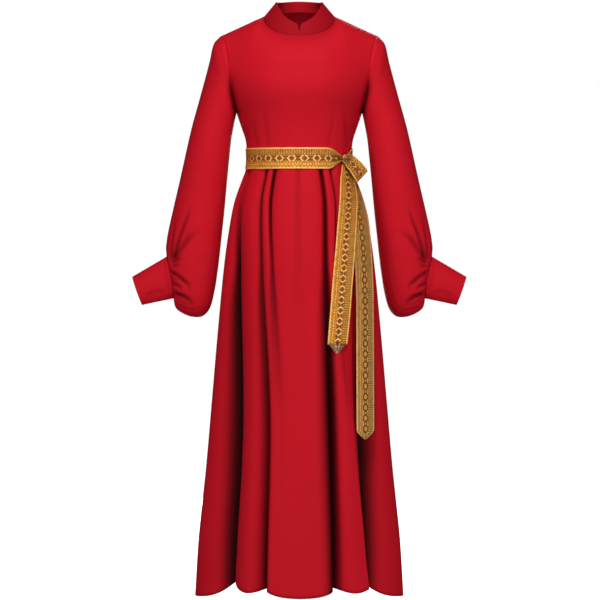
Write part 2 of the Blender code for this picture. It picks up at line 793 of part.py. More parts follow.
def build_bodice_sleeves_and_collar(cloth):
    """Pieces that meet at mitred seams, so their directions are worked out together."""
    half = BODICE_COLUMNS // 2
    panels = {
        "bodice_front": (bodice_rows(-1, 0, BODICE_COLUMNS), False),
        "bodice_back_left": (bodice_rows(1, 0, half), False),
        "bodice_back_right": (bodice_rows(1, half, BODICE_COLUMNS), False),
        "sleeve_left": (sleeve_rows(), True),
        "sleeve_right": (mirrored(sleeve_rows()), True),
        "cuff_left": (cuff_rows(), True),
        "cuff_right": (mirrored(cuff_rows()), True),
        "collar": (collar_rows(), True),
    }
    totals = {}
    for rows, closed in panels.values():
        add_normals(totals, rows, closed)
    added = COLLAR_EXTRA_POINTS - 1
    for name, (rows, closed) in panels.items():
        normals = wall_normals(rows, totals, closed)
        pull = {"top": SEAM_PULL, "bottom": SEAM_PULL, "left": SEAM_PULL, "right": SEAM_PULL}
        if name.startswith("bodice"):
            normals[-1] = level_normals(normals[-1])
            pull["bottom"] = 0.0
        alone = wall_normals(rows, add_normals({}, rows, closed), closed)
        if name.startswith("sleeve"):
            normals[0] = between_neighbours(normals[0], lambda j: j % 2 == 0)
            normals[-1] = alone[-1]
        if name.startswith("cuff"):
            normals[0] = alone[0]
            pull["bottom"] = 0.0
        if name == "collar":
            count = len(rows[0])
            beside_notch = set(range(1, added + 1)) | set(range(count - added, count))
            normals[-1] = between_neighbours(normals[-1], lambda j: j not in beside_notch)
            pull["top"] = 0.0
        build_wall(name, rows, normals, DRESS_CLOTH, closed, pull, cloth)


def build_skirt(cloth):
    """Three panels whose seams lie at the sides and the centre back."""
    folds = [fold["name"] for fold in SKIRT_FOLDS]
    side_left = folds.index("side_left")
    centre_back = folds.index("centre_back")
    panels = {
        "skirt_front": (0, side_left),
        "skirt_back_left": (side_left, centre_back),
        "skirt_back_right": (centre_back, len(folds)),
    }
    totals = {}
    for first, last in panels.values():
        add_normals(totals, skirt_rows(first, last), False)
    for name, (first, last) in panels.items():
        rows = skirt_rows(first, last)
        normals = wall_normals(rows, totals, False)
        normals[0] = level_normals(normals[0])
        pull = {"left": SEAM_PULL / 2.0, "right": SEAM_PULL / 2.0}
        build_wall(name, rows, normals, DRESS_CLOTH, False, pull, cloth)


def build_sash(brocade):
    """The band, the knot on it, the loop and the two hanging ends."""
    strips = {
        "sash_band": (band_rows(), True),
        "sash_loop": (loop_rows(), False),
        "sash_tail_short": (tail_rows(SHORT_TAIL), False),
        "sash_tail_long": (tail_rows(LONG_TAIL), False),
    }
    for name, (rows, closed) in strips.items():
        normals = wall_normals(rows, add_normals({}, rows, closed), closed)
        build_wall(name, rows, normals, SASH_CLOTH, closed, {}, brocade)
    build_lump("sash_knot", knot_rows(), brocade)


def main():
    clear_scene()
    cloth = make_material("dress_cloth", (0.47, 0.010, 0.020), 0.55, 0.0)
    brocade = make_material("sash_brocade", (0.58, 0.27, 0.06), 0.45, 0.2)
    build_bodice_sleeves_and_collar(cloth)
    build_skirt(cloth)
    build_sash(brocade)


main()
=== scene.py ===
import math
from functools import lru_cache

import bmesh
import bpy
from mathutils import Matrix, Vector


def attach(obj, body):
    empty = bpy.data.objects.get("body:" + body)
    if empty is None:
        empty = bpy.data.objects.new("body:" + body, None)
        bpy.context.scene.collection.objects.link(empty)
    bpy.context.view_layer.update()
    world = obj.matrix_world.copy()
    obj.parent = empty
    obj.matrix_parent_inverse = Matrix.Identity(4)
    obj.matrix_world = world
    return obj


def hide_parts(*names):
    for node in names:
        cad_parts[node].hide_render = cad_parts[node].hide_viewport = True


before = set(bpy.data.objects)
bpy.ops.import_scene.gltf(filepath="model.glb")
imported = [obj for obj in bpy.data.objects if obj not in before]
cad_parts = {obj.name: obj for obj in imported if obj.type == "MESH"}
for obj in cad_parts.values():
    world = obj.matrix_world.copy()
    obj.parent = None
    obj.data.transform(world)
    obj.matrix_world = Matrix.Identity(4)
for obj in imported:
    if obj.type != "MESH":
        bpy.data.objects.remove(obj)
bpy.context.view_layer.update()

print("frame loaded")


# Smooth lines and steps that the pieces share

def bent(a, b, leaving, arriving, t):
    # from a to b, with the given slopes at its two ends
    rise = b - a
    bend = leaving + arriving - 2.0 * rise
    return a + t * (leaving + t * (3.0 * rise - 2.0 * leaving - arriving + t * bend))


class SoftCurve:
    def __init__(self, pairs):
        pairs = sorted(pairs)
        self.keys = [pair[0] for pair in pairs]
        self.values = [pair[1] for pair in pairs]
        slopes = [(b[1] - a[1]) / (b[0] - a[0]) for a, b in zip(pairs, pairs[1:])]
        self.tangents = []
        for i in range(len(pairs)):
            before, after = slopes[max(i - 1, 0)], slopes[min(i, len(slopes) - 1)]
            flat = before * after <= 0.0
            self.tangents.append(0.0 if flat else 2.0 * before * after / (before + after))

    def __call__(self, key):
        keys = self.keys
        key = min(max(key, keys[0]), keys[-1])
        spot = 0
        while spot < len(keys) - 2 and key > keys[spot + 1]:
            spot += 1
        span = keys[spot + 1] - keys[spot]
        t = (key - keys[spot]) / span
        start, end = self.tangents[spot] * span, self.tangents[spot + 1] * span
        return bent(self.values[spot], self.values[spot + 1], start, end, t)


def columnCurves(rows):
    # one SoftCurve per column after the first, which is the key
    return [SoftCurve([(row[0], row[i]) for row in rows]) for i in range(1, len(rows[0]))]


def smooth(t):
    t = min(max(t, 0.0), 1.0)
    return t * t * (3.0 - 2.0 * t)


def bell(away, width):
    return math.exp(-(away / width) ** 2)


def throughPoints(points, share):
    # a rounded line through points, at a share of its length
    lengths = [0.0]
    for a, b in zip(points, points[1:]):
        lengths.append(lengths[-1] + (b - a).length)
    target = share * lengths[-1]
    k = 0
    while k < len(points) - 2 and target > lengths[k + 1]:
        k += 1
    span = max(lengths[k + 1] - lengths[k], 1e-9)
    t = (target - lengths[k]) / span
    a, b = points[k], points[k + 1]
    leaving = arriving = b - a
    if k > 0:
        leaving = (b - points[k - 1]) * (span / (lengths[k + 1] - lengths[k - 1]))
    if k < len(points) - 2:
        arriving = (points[k + 2] - a) * (span / (lengths[k + 2] - lengths[k]))
    return bent(a, b, leaving, arriving, t)


# The bodice

bodice = {
    "sections": [  # height, half width, depth in front, depth behind
        (-0.140, 0.1660, 0.1230, 0.108), (-0.170, 0.1630, 0.1270, 0.107), (-0.198, 0.1585, 0.1235, 0.104),
        (-0.219, 0.1530, 0.1170, 0.101), (-0.228, 0.1505, 0.1140, 0.100), (-0.264, 0.1385, 0.103, 0.094),
        (-0.300, 0.1275, 0.097, 0.088), (-0.336, 0.1255, 0.095, 0.085)],
    "chest": -0.140, "underarm": -0.228, "waist": -0.336,
    "armholeFront": 0.055, "armholeBack": 0.060,
    "shoulderTip": Vector((0.190, 0.0, -0.0445)), "neckPoint": Vector((0.084, 0.0, 0.004)),
    "neckFront": Vector((0.0, -0.070, -0.0518)), "neckBack": Vector((0.0, 0.055, 0.022)),
    "neckShare": 14.0 / 24.0, "neckRoll": 60.0, "shoulderRoll": 85.0,
    "bustHeight": -0.168, "bustX": 0.070, "bustRise": 0.006, "bustSpread": 0.040,
    "upperShare": 0.48, "columns": 120, "rows": 84,
    "armholeEdge": [  # height, half width
        (-0.228, 0.1505), (-0.170, 0.1630), (-0.140, 0.1660), (-0.090, 0.1780), (-0.0445, 0.1900)],
    "fill": 0.012, "fillWidth": 0.019, "fillFrom": -0.178, "fillRise": 0.06, "fillSide": 0.03,
    # the painted shadow in the seam of the armhole: for each end its height and how far it fades
    "seamShadow": 0.75, "seamWidth": 0.008, "seamTop": (-0.135, 0.05), "seamBottom": (-0.245, 0.02),
    "neckFall": (0.8, 1.5), "cloth": (0.44, 0.38), "inside": (0.0, 0.0, -0.17), "smoothing": 24,
    "creases": [  # -1 in front or 1 behind, depth, width, points in x and z
        (-1, 0.0013, 0.0060, [(-0.0740, -0.320), (-0.0800, -0.265), (-0.0900, -0.215)]),
        (-1, 0.0011, 0.0050, [(-0.1000, -0.318), (-0.1090, -0.270), (-0.1180, -0.235)]),
        (-1, 0.0014, 0.0060, [(0.1130, -0.320), (0.1120, -0.270), (0.1040, -0.220)]),
        (-1, 0.0011, 0.0050, [(0.0700, -0.320), (0.0770, -0.270), (0.0840, -0.225)]),
        (1, 0.0020, 0.0055, [(-0.0720, -0.320), (-0.0800, -0.250), (-0.0850, -0.190)]),
        (1, 0.0020, 0.0055, [(0.0750, -0.320), (0.0790, -0.250), (0.0830, -0.195)])],
}
armholeEdge = SoftCurve(bodice["armholeEdge"])
bodiceSide, bodiceFrontDepth, bodiceBackDepth = columnCurves(bodice["sections"])


def bodiceSection(facing, across, height):
    side = bodiceSide(height)
    depth = bodiceFrontDepth(height) if facing < 0 else bodiceBackDepth(height)
    edge = 0.0
    if height > bodice["underarm"]:
        half = bodice["armholeFront"] if facing < 0 else bodice["armholeBack"]
        reach = (height - bodice["chest"]) / (bodice["chest"] - bodice["underarm"])
        edge = half * math.sqrt(max(1.0 - reach * reach, 0.0))
    widest = math.acos(edge / depth)
    angle = across * widest
    x = side * math.sin(angle) / math.sin(widest)
    y = facing * depth * math.cos(angle)
    if facing < 0:
        lift = bell(height - bodice["bustHeight"], bodice["bustSpread"])
        swell = bell(abs(x) - bodice["bustX"], bodice["bustSpread"])
        y -= bodice["bustRise"] * lift * swell * (1.0 - across ** 4)
    return Vector((x, y, height))


def neckline(facing, turn):
    centre = bodice["neckFront"] if facing < 0 else bodice["neckBack"]
    around, along = math.sin(math.radians(turn)), math.cos(math.radians(turn))
    fall = abs(along) ** bodice["neckFall"][0 if facing < 0 else 1]
    point = bodice["neckPoint"]
    return Vector((point.x * around, centre.y * along, point.z + (centre.z - point.z) * fall))


def bodiceTop(facing, across):
    neckShare = bodice["neckShare"]
    if abs(across) <= neckShare:
        return neckline(facing, 90.0 * across / neckShare)
    point = bodice["neckPoint"].lerp(bodice["shoulderTip"], (abs(across) - neckShare) / (1.0 - neckShare))
    point.x = math.copysign(point.x, across)
    return point


def bodiceUpper(facing, across, rise):
    chest = bodiceSection(facing, across, bodice["chest"])
    top = bodiceTop(facing, across)
    towards = min(abs(across) / bodice["neckShare"], 1.0)
    roll = math.radians(bodice["neckRoll"] + (bodice["shoulderRoll"] - bodice["neckRoll"]) * towards)
    level = (1.0 - math.cos(roll * rise)) / (1.0 - math.cos(roll))
    lift = math.sin(roll * rise) / math.sin(roll)
    return Vector((chest.x + (top.x - chest.x) * level, chest.y + (top.y - chest.y) * level,
                   chest.z + (top.z - chest.z) * lift))


def filledOut(point):
    # the sleeve head and the bodice beside it are one soft slope, down to the hollow of the underarm
    edge = armholeEdge(point.z)
    reach = bodice["fill"] * math.exp(-abs(abs(point.x) - edge) / bodice["fillWidth"])
    rise = smooth((point.z - bodice["fillFrom"]) / bodice["fillRise"])
    reach *= rise * smooth(abs(point.y) / bodice["fillSide"])
    point.y += math.copysign(reach, point.y)
    return point


def bodicePoint(facing, start, end):
    def at(s, t):
        across = -facing * (start + (end - start) * s)
        share = bodice["upperShare"]
        if t < share:
            return filledOut(bodiceUpper(facing, across, 1.0 - t / share))
        height = bodice["chest"] + (bodice["waist"] - bodice["chest"]) * (t - share) / (1.0 - share)
        return filledOut(bodiceSection(facing, across, height))
    return at


def armholeShade(s, t, co):
    # the shadow along the seam between the bodice and the sleeve
    (top, topFade), (bottom, bottomFade) = bodice["seamTop"], bodice["seamBottom"]
    near = bell(abs(co.x) - armholeEdge(co.z), bodice["seamWidth"])
    return bodice["seamShadow"] * near * smooth((top - co.z) / topFade) * smooth((co.z - bottom) / bottomFade)


# The skirt: folds are angles round from the centre front, and depths at four levels

skirt = {
    "sections": [
        (-0.336, 0.1255, 0.095, 0.085), (-0.352, 0.1262, 0.097, 0.088), (-0.363, 0.1280, 0.099, 0.091),
        (-0.389, 0.1375, 0.106, 0.100), (-0.446, 0.1570, 0.121, 0.118), (-0.504, 0.1680, 0.133, 0.131),
        (-0.590, 0.1800, 0.147, 0.145), (-0.734, 0.1940, 0.160, 0.160), (-0.907, 0.2090, 0.175, 0.177),
        (-1.080, 0.2240, 0.190, 0.193), (-1.253, 0.2420, 0.205, 0.208), (-1.382, 0.2500, 0.215, 0.220)],
    "hem": [  # angle from the centre front, height
        (0.0, -1.3585), (42.0, -1.3560), (76.0, -1.3800), (90.0, -1.3845),
        (135.0, -1.3680), (180.0, -1.3600)],
    "hemRise": 0.36, "hemLobe": ((0.030, 1.4), (0.072, 2.5)), "hemDeep": 0.060, "hemEase": -1.253,
    "levels": (-0.389, -0.610, -1.010, -1.382), "atSeam": 0.6, "slipEase": 0.4,
    # at the four levels, or one value for all: angles, depths, and how narrow the fold is before and
    # after its floor. Then how far the floor slips sideways under the next lobe, and how dark its painted
    # shade is at the levels. Last, if not as usual, the share of shadeWidth on the open side and under the
    # lobe
    "folds": [
        (-90.0, 0.0, 2.0, 2.0, 0.0, 0.0),
        ((-72.0, -65.5, -58.5, -57.0), (0.009, 0.032, 0.064, 0.076),
         (5.0, 2.1, 1.7, 1.6), (3.5, 1.4, 1.5, 1.6), 0.008, (0.3, 1.0, 1.0, 1.0), (1.6, 0.75)),
        ((-36.8, -30.3, -21.2, -20.2), (0.012, 0.014, 0.036, 0.046),
         (8.0, 4.0, 4.5, 4.5), (6.0, 3.0, 6.0, 6.0), 0.006, (0.95, 0.8, 0.85, 1.0), (0.85, 0.6)),
        ((-27.0, -20.5, -12.0, -12.0), (0.012, 0.005, 0.001, 0.0),
         (6.0, 5.0, 5.0, 5.0), (8.0, 7.0, 6.0, 6.0), 0.0, (0.95, 0.7, 0.0, 0.0), (0.6, 0.6)),
        ((-1.5, -1.0, 0.0, 0.0), (0.002, 0.001, 0.0, 0.0), 3.0, 3.0, 0.0, (0.22, 0.1, 0.0, 0.0)),
        ((24.2, 21.2, 22.3, 21.5), (0.012, 0.014, 0.038, 0.046),
         (8.0, 9.0, 13.0, 13.0), (8.0, 5.0, 4.5, 4.5), -0.005, (0.8, 0.85, 1.0, 1.0), (0.55, 1.35)),
        ((35.0, 29.0, 36.0, 40.0), (0.011, 0.009, 0.001, 0.0),
         (8.0, 7.0, 6.0, 6.0), (8.0, 7.0, 6.0, 6.0), 0.0, (0.95, 0.5, 0.0, 0.0), (0.6, 0.6)),
        ((71.0, 64.5, 58.6, 55.8), (0.009, 0.03, 0.064, 0.076),
         (4.0, 1.5, 0.9, 0.85), (5.0, 2.1, 1.7, 1.6), -0.008, (0.5, 0.95, 1.0, 1.0), (1.6, 0.75)),
        (90.0, 0.0, 2.0, 2.0, 0.0, 0.0),
        ((108.0, 110.0, 110.0, 111.0), (0.008, 0.018, 0.038, 0.052),
         (8.0, 4.9, 3.0, 3.0), (8.0, 4.0, 2.0, 2.0), 0.006, (0.6, 0.6, 0.65, 0.65)),
        ((131.0, 135.0, 133.0, 134.0), (0.009, 0.01, 0.024, 0.038),
         (8.0, 4.5, 2.5, 2.5), (8.0, 5.7, 4.0, 4.0), 0.004, (0.6, 0.4, 0.55, 0.6)),
        ((158.0, 156.0, 157.0, 155.0), (0.01, 0.015, 0.034, 0.046),
         (8.0, 4.9, 3.0, 3.0), (8.0, 6.9, 6.0, 6.0), -0.006, (0.7, 0.55, 0.7, 0.75)),
        (180.0, (0.002, 0.004, 0.007, 0.01),
         (6.0, 4.9, 3.0, 3.0), (6.0, 4.9, 3.0, 3.0), 0.0, (0.15, 0.1, 0.1, 0.1)),
        ((200.0, 202.0, 203.0, 205.0), (0.01, 0.014, 0.032, 0.043),
         (8.0, 7.5, 7.0, 7.0), (8.0, 4.9, 3.0, 3.0), 0.006, (0.7, 0.55, 0.7, 0.75)),
        ((227.0, 224.0, 227.0, 226.0), (0.008, 0.012, 0.026, 0.04),
         (8.0, 4.0, 2.0, 2.0), (8.0, 5.7, 4.0, 4.0), -0.004, (0.55, 0.45, 0.55, 0.6)),
        ((251.0, 249.0, 250.0, 249.0), (0.009, 0.017, 0.036, 0.052),
         (8.0, 4.0, 2.0, 2.0), (8.0, 4.9, 3.0, 3.0), -0.006, (0.6, 0.6, 0.65, 0.65))],
    "rounding": 0.07, "floorRounding": 0.02, "floorReach": 0.30,
    "shadeWidth": [  # height, reach of the dark
        (-1.382, 0.021), (-1.010, 0.023), (-0.700, 0.017), (-0.580, 0.009), (-0.389, 0.0065)],
    "shadePower": 3.4, "usualSpread": (1.0, 0.6),
    "columnsPerFold": 22, "rows": 110, "foldCloth": 0.09, "length": 1.04, "inside": (0.0, 0.0, -0.9),
}
skirtSide, skirtFrontDepth, skirtBackDepth = columnCurves(skirt["sections"])
hemLine = SoftCurve(skirt["hem"])


def levelCurve(values, atSeam=None):
    # a value for each level, or one for all, and for the seam a share of the highest level's value
    if isinstance(values, float):
        values = (values,) * len(skirt["levels"])
    seam = [] if atSeam is None else [(bodice["waist"], values[0] * atSeam)]
    return SoftCurve(seam + list(zip(skirt["levels"], values)))


class Fold:
    def __init__(self, angles, depths, before, after, slip, dark, spread=skirt["usualSpread"]):
        self.angle = levelCurve(angles, 1.0)
        self.depth = levelCurve(depths, skirt["atSeam"])
        self.widths = [levelCurve(before), levelCurve(after)]
        self.slip = slip
        self.dark = levelCurve(dark)
        self.spread = spread

    def opens(self, side):
        # whether no lobe hangs over the floor from this side: 0 before the floor, 1 after it
        return self.slip == 0.0 or (self.slip > 0.0) == (side == 0)

    def share(self, away, side, height):
        # 1 at the floor of the fold, 0 at the next fold's floor
        floor = skirt["floorRounding"] * max(1.0 - away / skirt["floorReach"], 0.0)
        near = max(1.0 + floor - math.hypot(away, floor), 0.0)
        rounding = skirt["rounding"]
        return near ** self.widths[side](height) * near / (near + rounding) * (1.0 + rounding)


folds = [Fold(*row) for row in skirt["folds"]]
shadeWidth = SoftCurve(skirt["shadeWidth"])


def envelope(angle, height):
    turn = math.radians(angle)
    if height > bodice["waist"]:
        side, front, back = bodiceSide(height), bodiceFrontDepth(height), bodiceBackDepth(height)
    else:
        side, front, back = skirtSide(height), skirtFrontDepth(height), skirtBackDepth(height)
    depth = front if math.cos(turn) > 0.0 else back
    return Vector((side * math.sin(turn), -depth * math.cos(turn), height))


def outward(angle, height):
    along = envelope(angle + 0.5, height) - envelope(angle - 0.5, height)
    return Vector((along.y, -along.x, 0.0)).normalized()


def foldAngle(index, height):
    turns, place = divmod(index, len(folds))
    return folds[place].angle(height) + 360.0 * turns


def skirtShare(reach, first, last):
    # the fold interval and the place in it, with the columns crowded towards the folds
    index = min(int(reach), last - first - 1)
    return index + first, 0.5 - 0.5 * math.cos(math.pi * (reach - index))


def skirtHeight(t):
    return bodice["waist"] + (skirt["levels"][3] - bodice["waist"]) * t


def foldsBeside(index, share):
    # the folds before and after a place, how far off each one is, and the side of it that the place is on
    return ((folds[index % len(folds)], share, 1), (folds[(index + 1) % len(folds)], 1.0 - share, 0))


def hemRise(index, angle):
    # the hem is higher in a fold than on the lobes, and each lobe ends in round corners
    bottom = skirt["levels"][3]
    rise = 0.0
    for place in range(index - 1, index + 3):
        fold = folds[place % len(folds)]
        turn = angle - foldAngle(place, bottom)
        deep = fold.depth(bottom)
        hidden = deep >= skirt["hemDeep"] and not fold.opens(turn > 0.0)
        lobe, power = skirt["hemLobe"][1 if hidden else 0]
        away = abs(math.radians(turn)) * skirtSide(bottom)
        rise += skirt["hemRise"] * deep * math.exp(-(away / lobe) ** power)
    return rise


def skirtPoint(first, last):
    def at(s, t):
        index, share = skirtShare(s * (last - first), first, last)
        height = skirtHeight(t)
        angle = foldAngle(index, height) * (1.0 - share) + foldAngle(index + 1, height) * share
        depth = slip = 0.0
        for fold, away, side in foldsBeside(index, share):
            near = fold.share(away, side, height)
            depth += fold.depth(height) * near
            slip += fold.slip * near * smooth((skirt["levels"][1] - height) / skirt["slipEase"])
        out = outward(angle, height)
        along = Vector((-out.y, out.x, 0.0))
        point = envelope(angle, height) - out * depth + along * slip
        fromFront = abs((angle + 180.0) % 360.0 - 180.0)
        bottom = skirt["levels"][3]
        ease = smooth((skirt["hemEase"] - height) / (skirt["hemEase"] - bottom))
        point.z += (hemLine(fromFront) + hemRise(index, angle) - bottom) * ease
        return point
    return at


# painted shade in the folds of the skirt: dark at each fold's floor, fading over shadeWidth
def skirtShade(first, last):
    def at(s, t, co):
        index, share = skirtShare(s * (last - first), first, last)
        height = skirtHeight(t)
        span = math.radians(foldAngle(index + 1, height) - foldAngle(index, height)) * skirtSide(height)
        total = 0.0
        for fold, away, side in foldsBeside(index, share):
            width = shadeWidth(height) * fold.spread[0 if fold.opens(side) else 1]
            total += fold.dark(height) * math.exp(-(away * span / width) ** skirt["shadePower"])
        return min(total, 1.0)
    return at


def skirtPlace(first, last):
    def at(s, t):
        index, share = skirtShare(s * (last - first), first, last)
        return (index + share) * skirt["foldCloth"], t * skirt["length"]
    return at


# Sleeves and cuffs: rings given by their outer and inner edge seen from the front

sleeve = {
    "rings": [  # outer x, outer z, inner x, inner z, half depth, gather
        (0.2042, -0.0612, 0.1530, -0.2385, 0.0575, 0.0), (0.2153, -0.1056, 0.1548, -0.2460, 0.0570, 0.0),
        (0.2292, -0.1584, 0.1568, -0.2560, 0.0550, 0.0), (0.2431, -0.2088, 0.1595, -0.2700, 0.0540, 0.0),
        (0.2594, -0.2688, 0.1634, -0.2928, 0.0550, 0.0), (0.2863, -0.3888, 0.1735, -0.3936, 0.0570, 0.0),
        (0.3019, -0.4560, 0.1793, -0.4584, 0.0580, 0.0), (0.3156, -0.5184, 0.1862, -0.5232, 0.0590, 0.0),
        (0.3190, -0.5420, 0.1908, -0.5664, 0.0590, 0.0), (0.3199, -0.5500, 0.1961, -0.6096, 0.0580, 0.1),
        (0.3199, -0.5560, 0.2033, -0.6552, 0.0560, 0.1), (0.3195, -0.5602, 0.2148, -0.6968, 0.0530, 0.2),
        (0.3192, -0.5635, 0.2323, -0.7157, 0.0500, 0.3), (0.3190, -0.5662, 0.2563, -0.7171, 0.0470, 0.5),
        (0.3188, -0.5686, 0.2803, -0.7085, 0.0410, 0.9), (0.3187, -0.5708, 0.2969, -0.6950, 0.0340, 1.0),
        (0.3187, -0.5726, 0.3019, -0.6730, 0.0240, 0.0)],
    "handRing": (0.4008, -0.6209, 0.3770, -0.6888, 0.0240, 0.0),
    "gathers": 24, "gatherDepth": 0.0014, "seamBow": 0.006, "bowStart": 12, "bowLength": 3.0,
    "underarmAngles": [(0.0, -0.228), (22.5, -0.219), (45.0, -0.198), (67.5, -0.170), (90.0, -0.140)],
    "columns": 128, "rows": 170, "cuffRows": 34,
    "inside": (0.22, 0.0, -0.40), "cloth": (0.36, 0.62),
    "cuffInside": (0.35, 0.0, -0.64), "cuffCloth": (0.22, 0.09), "cuffWall": 0.0016,
    "creases": [  # -1 in front or 1 behind, depth, width, points in x and z from the cuff seam up
        (-1, 0.0050, 0.0040, [(0.305, -0.584), (0.283, -0.521), (0.269, -0.485), (0.255, -0.440)]),
        (-1, 0.0032, 0.0034, [(0.309, -0.580), (0.303, -0.530), (0.292, -0.465)]),
        (-1, 0.0044, 0.0062, [(0.302, -0.579), (0.262, -0.529), (0.225, -0.507)]),
        (-1, 0.0045, 0.0034, [(0.305, -0.588), (0.290, -0.580), (0.276, -0.575)]),
        (-1, 0.0040, 0.0030, [(0.306, -0.598), (0.292, -0.594), (0.282, -0.592)]),
        (-1, 0.0060, 0.0042, [(0.306, -0.610), (0.283, -0.625), (0.262, -0.642), (0.259, -0.662)]),
        (-1, 0.0060, 0.0045, [(0.303, -0.660), (0.276, -0.669), (0.259, -0.680), (0.254, -0.699)]),
        (-1, 0.0035, 0.0034, [(0.305, -0.636), (0.288, -0.643), (0.275, -0.657)]),
        (1, 0.0055, 0.0045, [(0.303, -0.586), (0.280, -0.530), (0.262, -0.480), (0.250, -0.430)]),
        (1, 0.0060, 0.0070, [(0.301, -0.600), (0.268, -0.560), (0.235, -0.535)]),
        (1, 0.0055, 0.0040, [(0.303, -0.622), (0.280, -0.634), (0.262, -0.655)]),
        (1, 0.0055, 0.0045, [(0.301, -0.652), (0.278, -0.662), (0.262, -0.685)]),
        (1, 0.0050, 0.0040, [(0.308, -0.580), (0.298, -0.540), (0.290, -0.500)])],
    "cuffCreases": [
        (-1, 0.0012, 0.0020, [(0.3245, -0.580), (0.3195, -0.620), (0.3105, -0.672)]),
        (-1, 0.0014, 0.0060, [(0.366, -0.668), (0.340, -0.657), (0.312, -0.664)]),
        (1, 0.0012, 0.0020, [(0.3245, -0.580), (0.3195, -0.620), (0.3105, -0.672)])],
}
underarmHeight = SoftCurve(sleeve["underarmAngles"])


def armhole(angle):
    facing = -1 if angle <= 180.0 else 1
    turn = angle if angle <= 180.0 else 360.0 - angle
    if turn < 90.0:
        return bodiceSection(facing, 1.0, underarmHeight(turn))
    return bodiceUpper(facing, 1.0, (turn - 90.0) / 90.0)


def ringPoint(ring, angle, bow):
    turn = math.radians(angle)
    outer, inner = Vector((ring[0], 0.0, ring[1])), Vector((ring[2], 0.0, ring[3]))
    reach = (outer - inner) / 2.0
    away = Vector((-reach.z, 0.0, reach.x)).normalized()
    ripple = 1.0 - sleeve["gatherDepth"] * ring[5] * (1.0 - math.cos(sleeve["gathers"] * turn)) / reach.length
    point = (outer + inner) / 2.0 - reach * math.cos(turn) * ripple
    point.y -= ring[4] * math.sin(turn) * ripple
    return point + away * bow * math.sin(turn) ** 2


@lru_cache(maxsize=None)
def sleeveColumn(angle):
    column = [armhole(angle)]
    for place, ring in enumerate(sleeve["rings"]):
        bow = sleeve["seamBow"] * smooth((place - sleeve["bowStart"]) / sleeve["bowLength"])
        column.append(ringPoint(ring, angle, bow))
    return column


def sleevePoint(side):
    def at(s, t):
        point = throughPoints(sleeveColumn(round(360.0 * s, 6) % 360.0), t)
        return filledOut(Vector((point.x * side, point.y, point.z)))
    return at


def cuffPoint(side):
    def at(s, t):
        angle = 360.0 * s
        seam = ringPoint(sleeve["rings"][-1], angle, sleeve["seamBow"])
        point = seam.lerp(ringPoint(sleeve["handRing"], angle, 0.0), t)
        return Vector((point.x * side, point.y, point.z))
    return at


# The collar

collar = {
    "halfWidth": 0.0547, "front": 0.056, "back": 0.048, "sideTop": 0.039, "backTop": 0.0475,
    "frontDrop": 0.058, "dropPower": 1.35, "rounding": 0.0045, "roundedTurn": 20.0,
    "notchTurn": 6.0, "notchFloor": 0.35, "notchPower": 1.7, "crowding": 0.8, "columns": 176, "rows": 22,
    "dark": 0.40, "darkFrom": 0.015, "darkFade": 0.03,
    "cloth": (0.36, 0.05), "inside": (0.0, 0.0, 0.0), "wall": 0.0018,
}


def collarShade(s, t, co):
    # painted shade: the front of the collar is darker, inside and out
    return collar["dark"] * smooth((collar["darkFrom"] - co.y) / collar["darkFade"])


def collarPoint(s, t):
    turn = 360.0 * (s - collar["crowding"] * math.sin(2.0 * math.pi * s) / (2.0 * math.pi))
    turn = min(max(turn, 0.0), 360.0)
    if 90.0 < turn < 270.0:
        base = neckline(1, 180.0 - turn)
    else:
        base = neckline(-1, turn if turn <= 90.0 else turn - 360.0)
    ahead = math.cos(math.radians(turn))
    fromFront = min(turn, 360.0 - turn)
    if ahead > 0.0:
        height = collar["sideTop"] - collar["frontDrop"] * ahead ** collar["dropPower"]
        height -= collar["rounding"] * max(1.0 - fromFront / collar["roundedTurn"], 0.0)
        y = -collar["front"] * ahead
    else:
        height = collar["sideTop"] + (collar["backTop"] - collar["sideTop"]) * ahead ** 2
        y = -collar["back"] * ahead
    top = Vector((collar["halfWidth"] * math.sin(math.radians(turn)), y, height))
    near = max(1.0 - fromFront / collar["notchTurn"], 0.0)
    top = base.lerp(top, 1.0 - (1.0 - collar["notchFloor"]) * near ** collar["notchPower"])
    return top.lerp(base, t)


# The sash

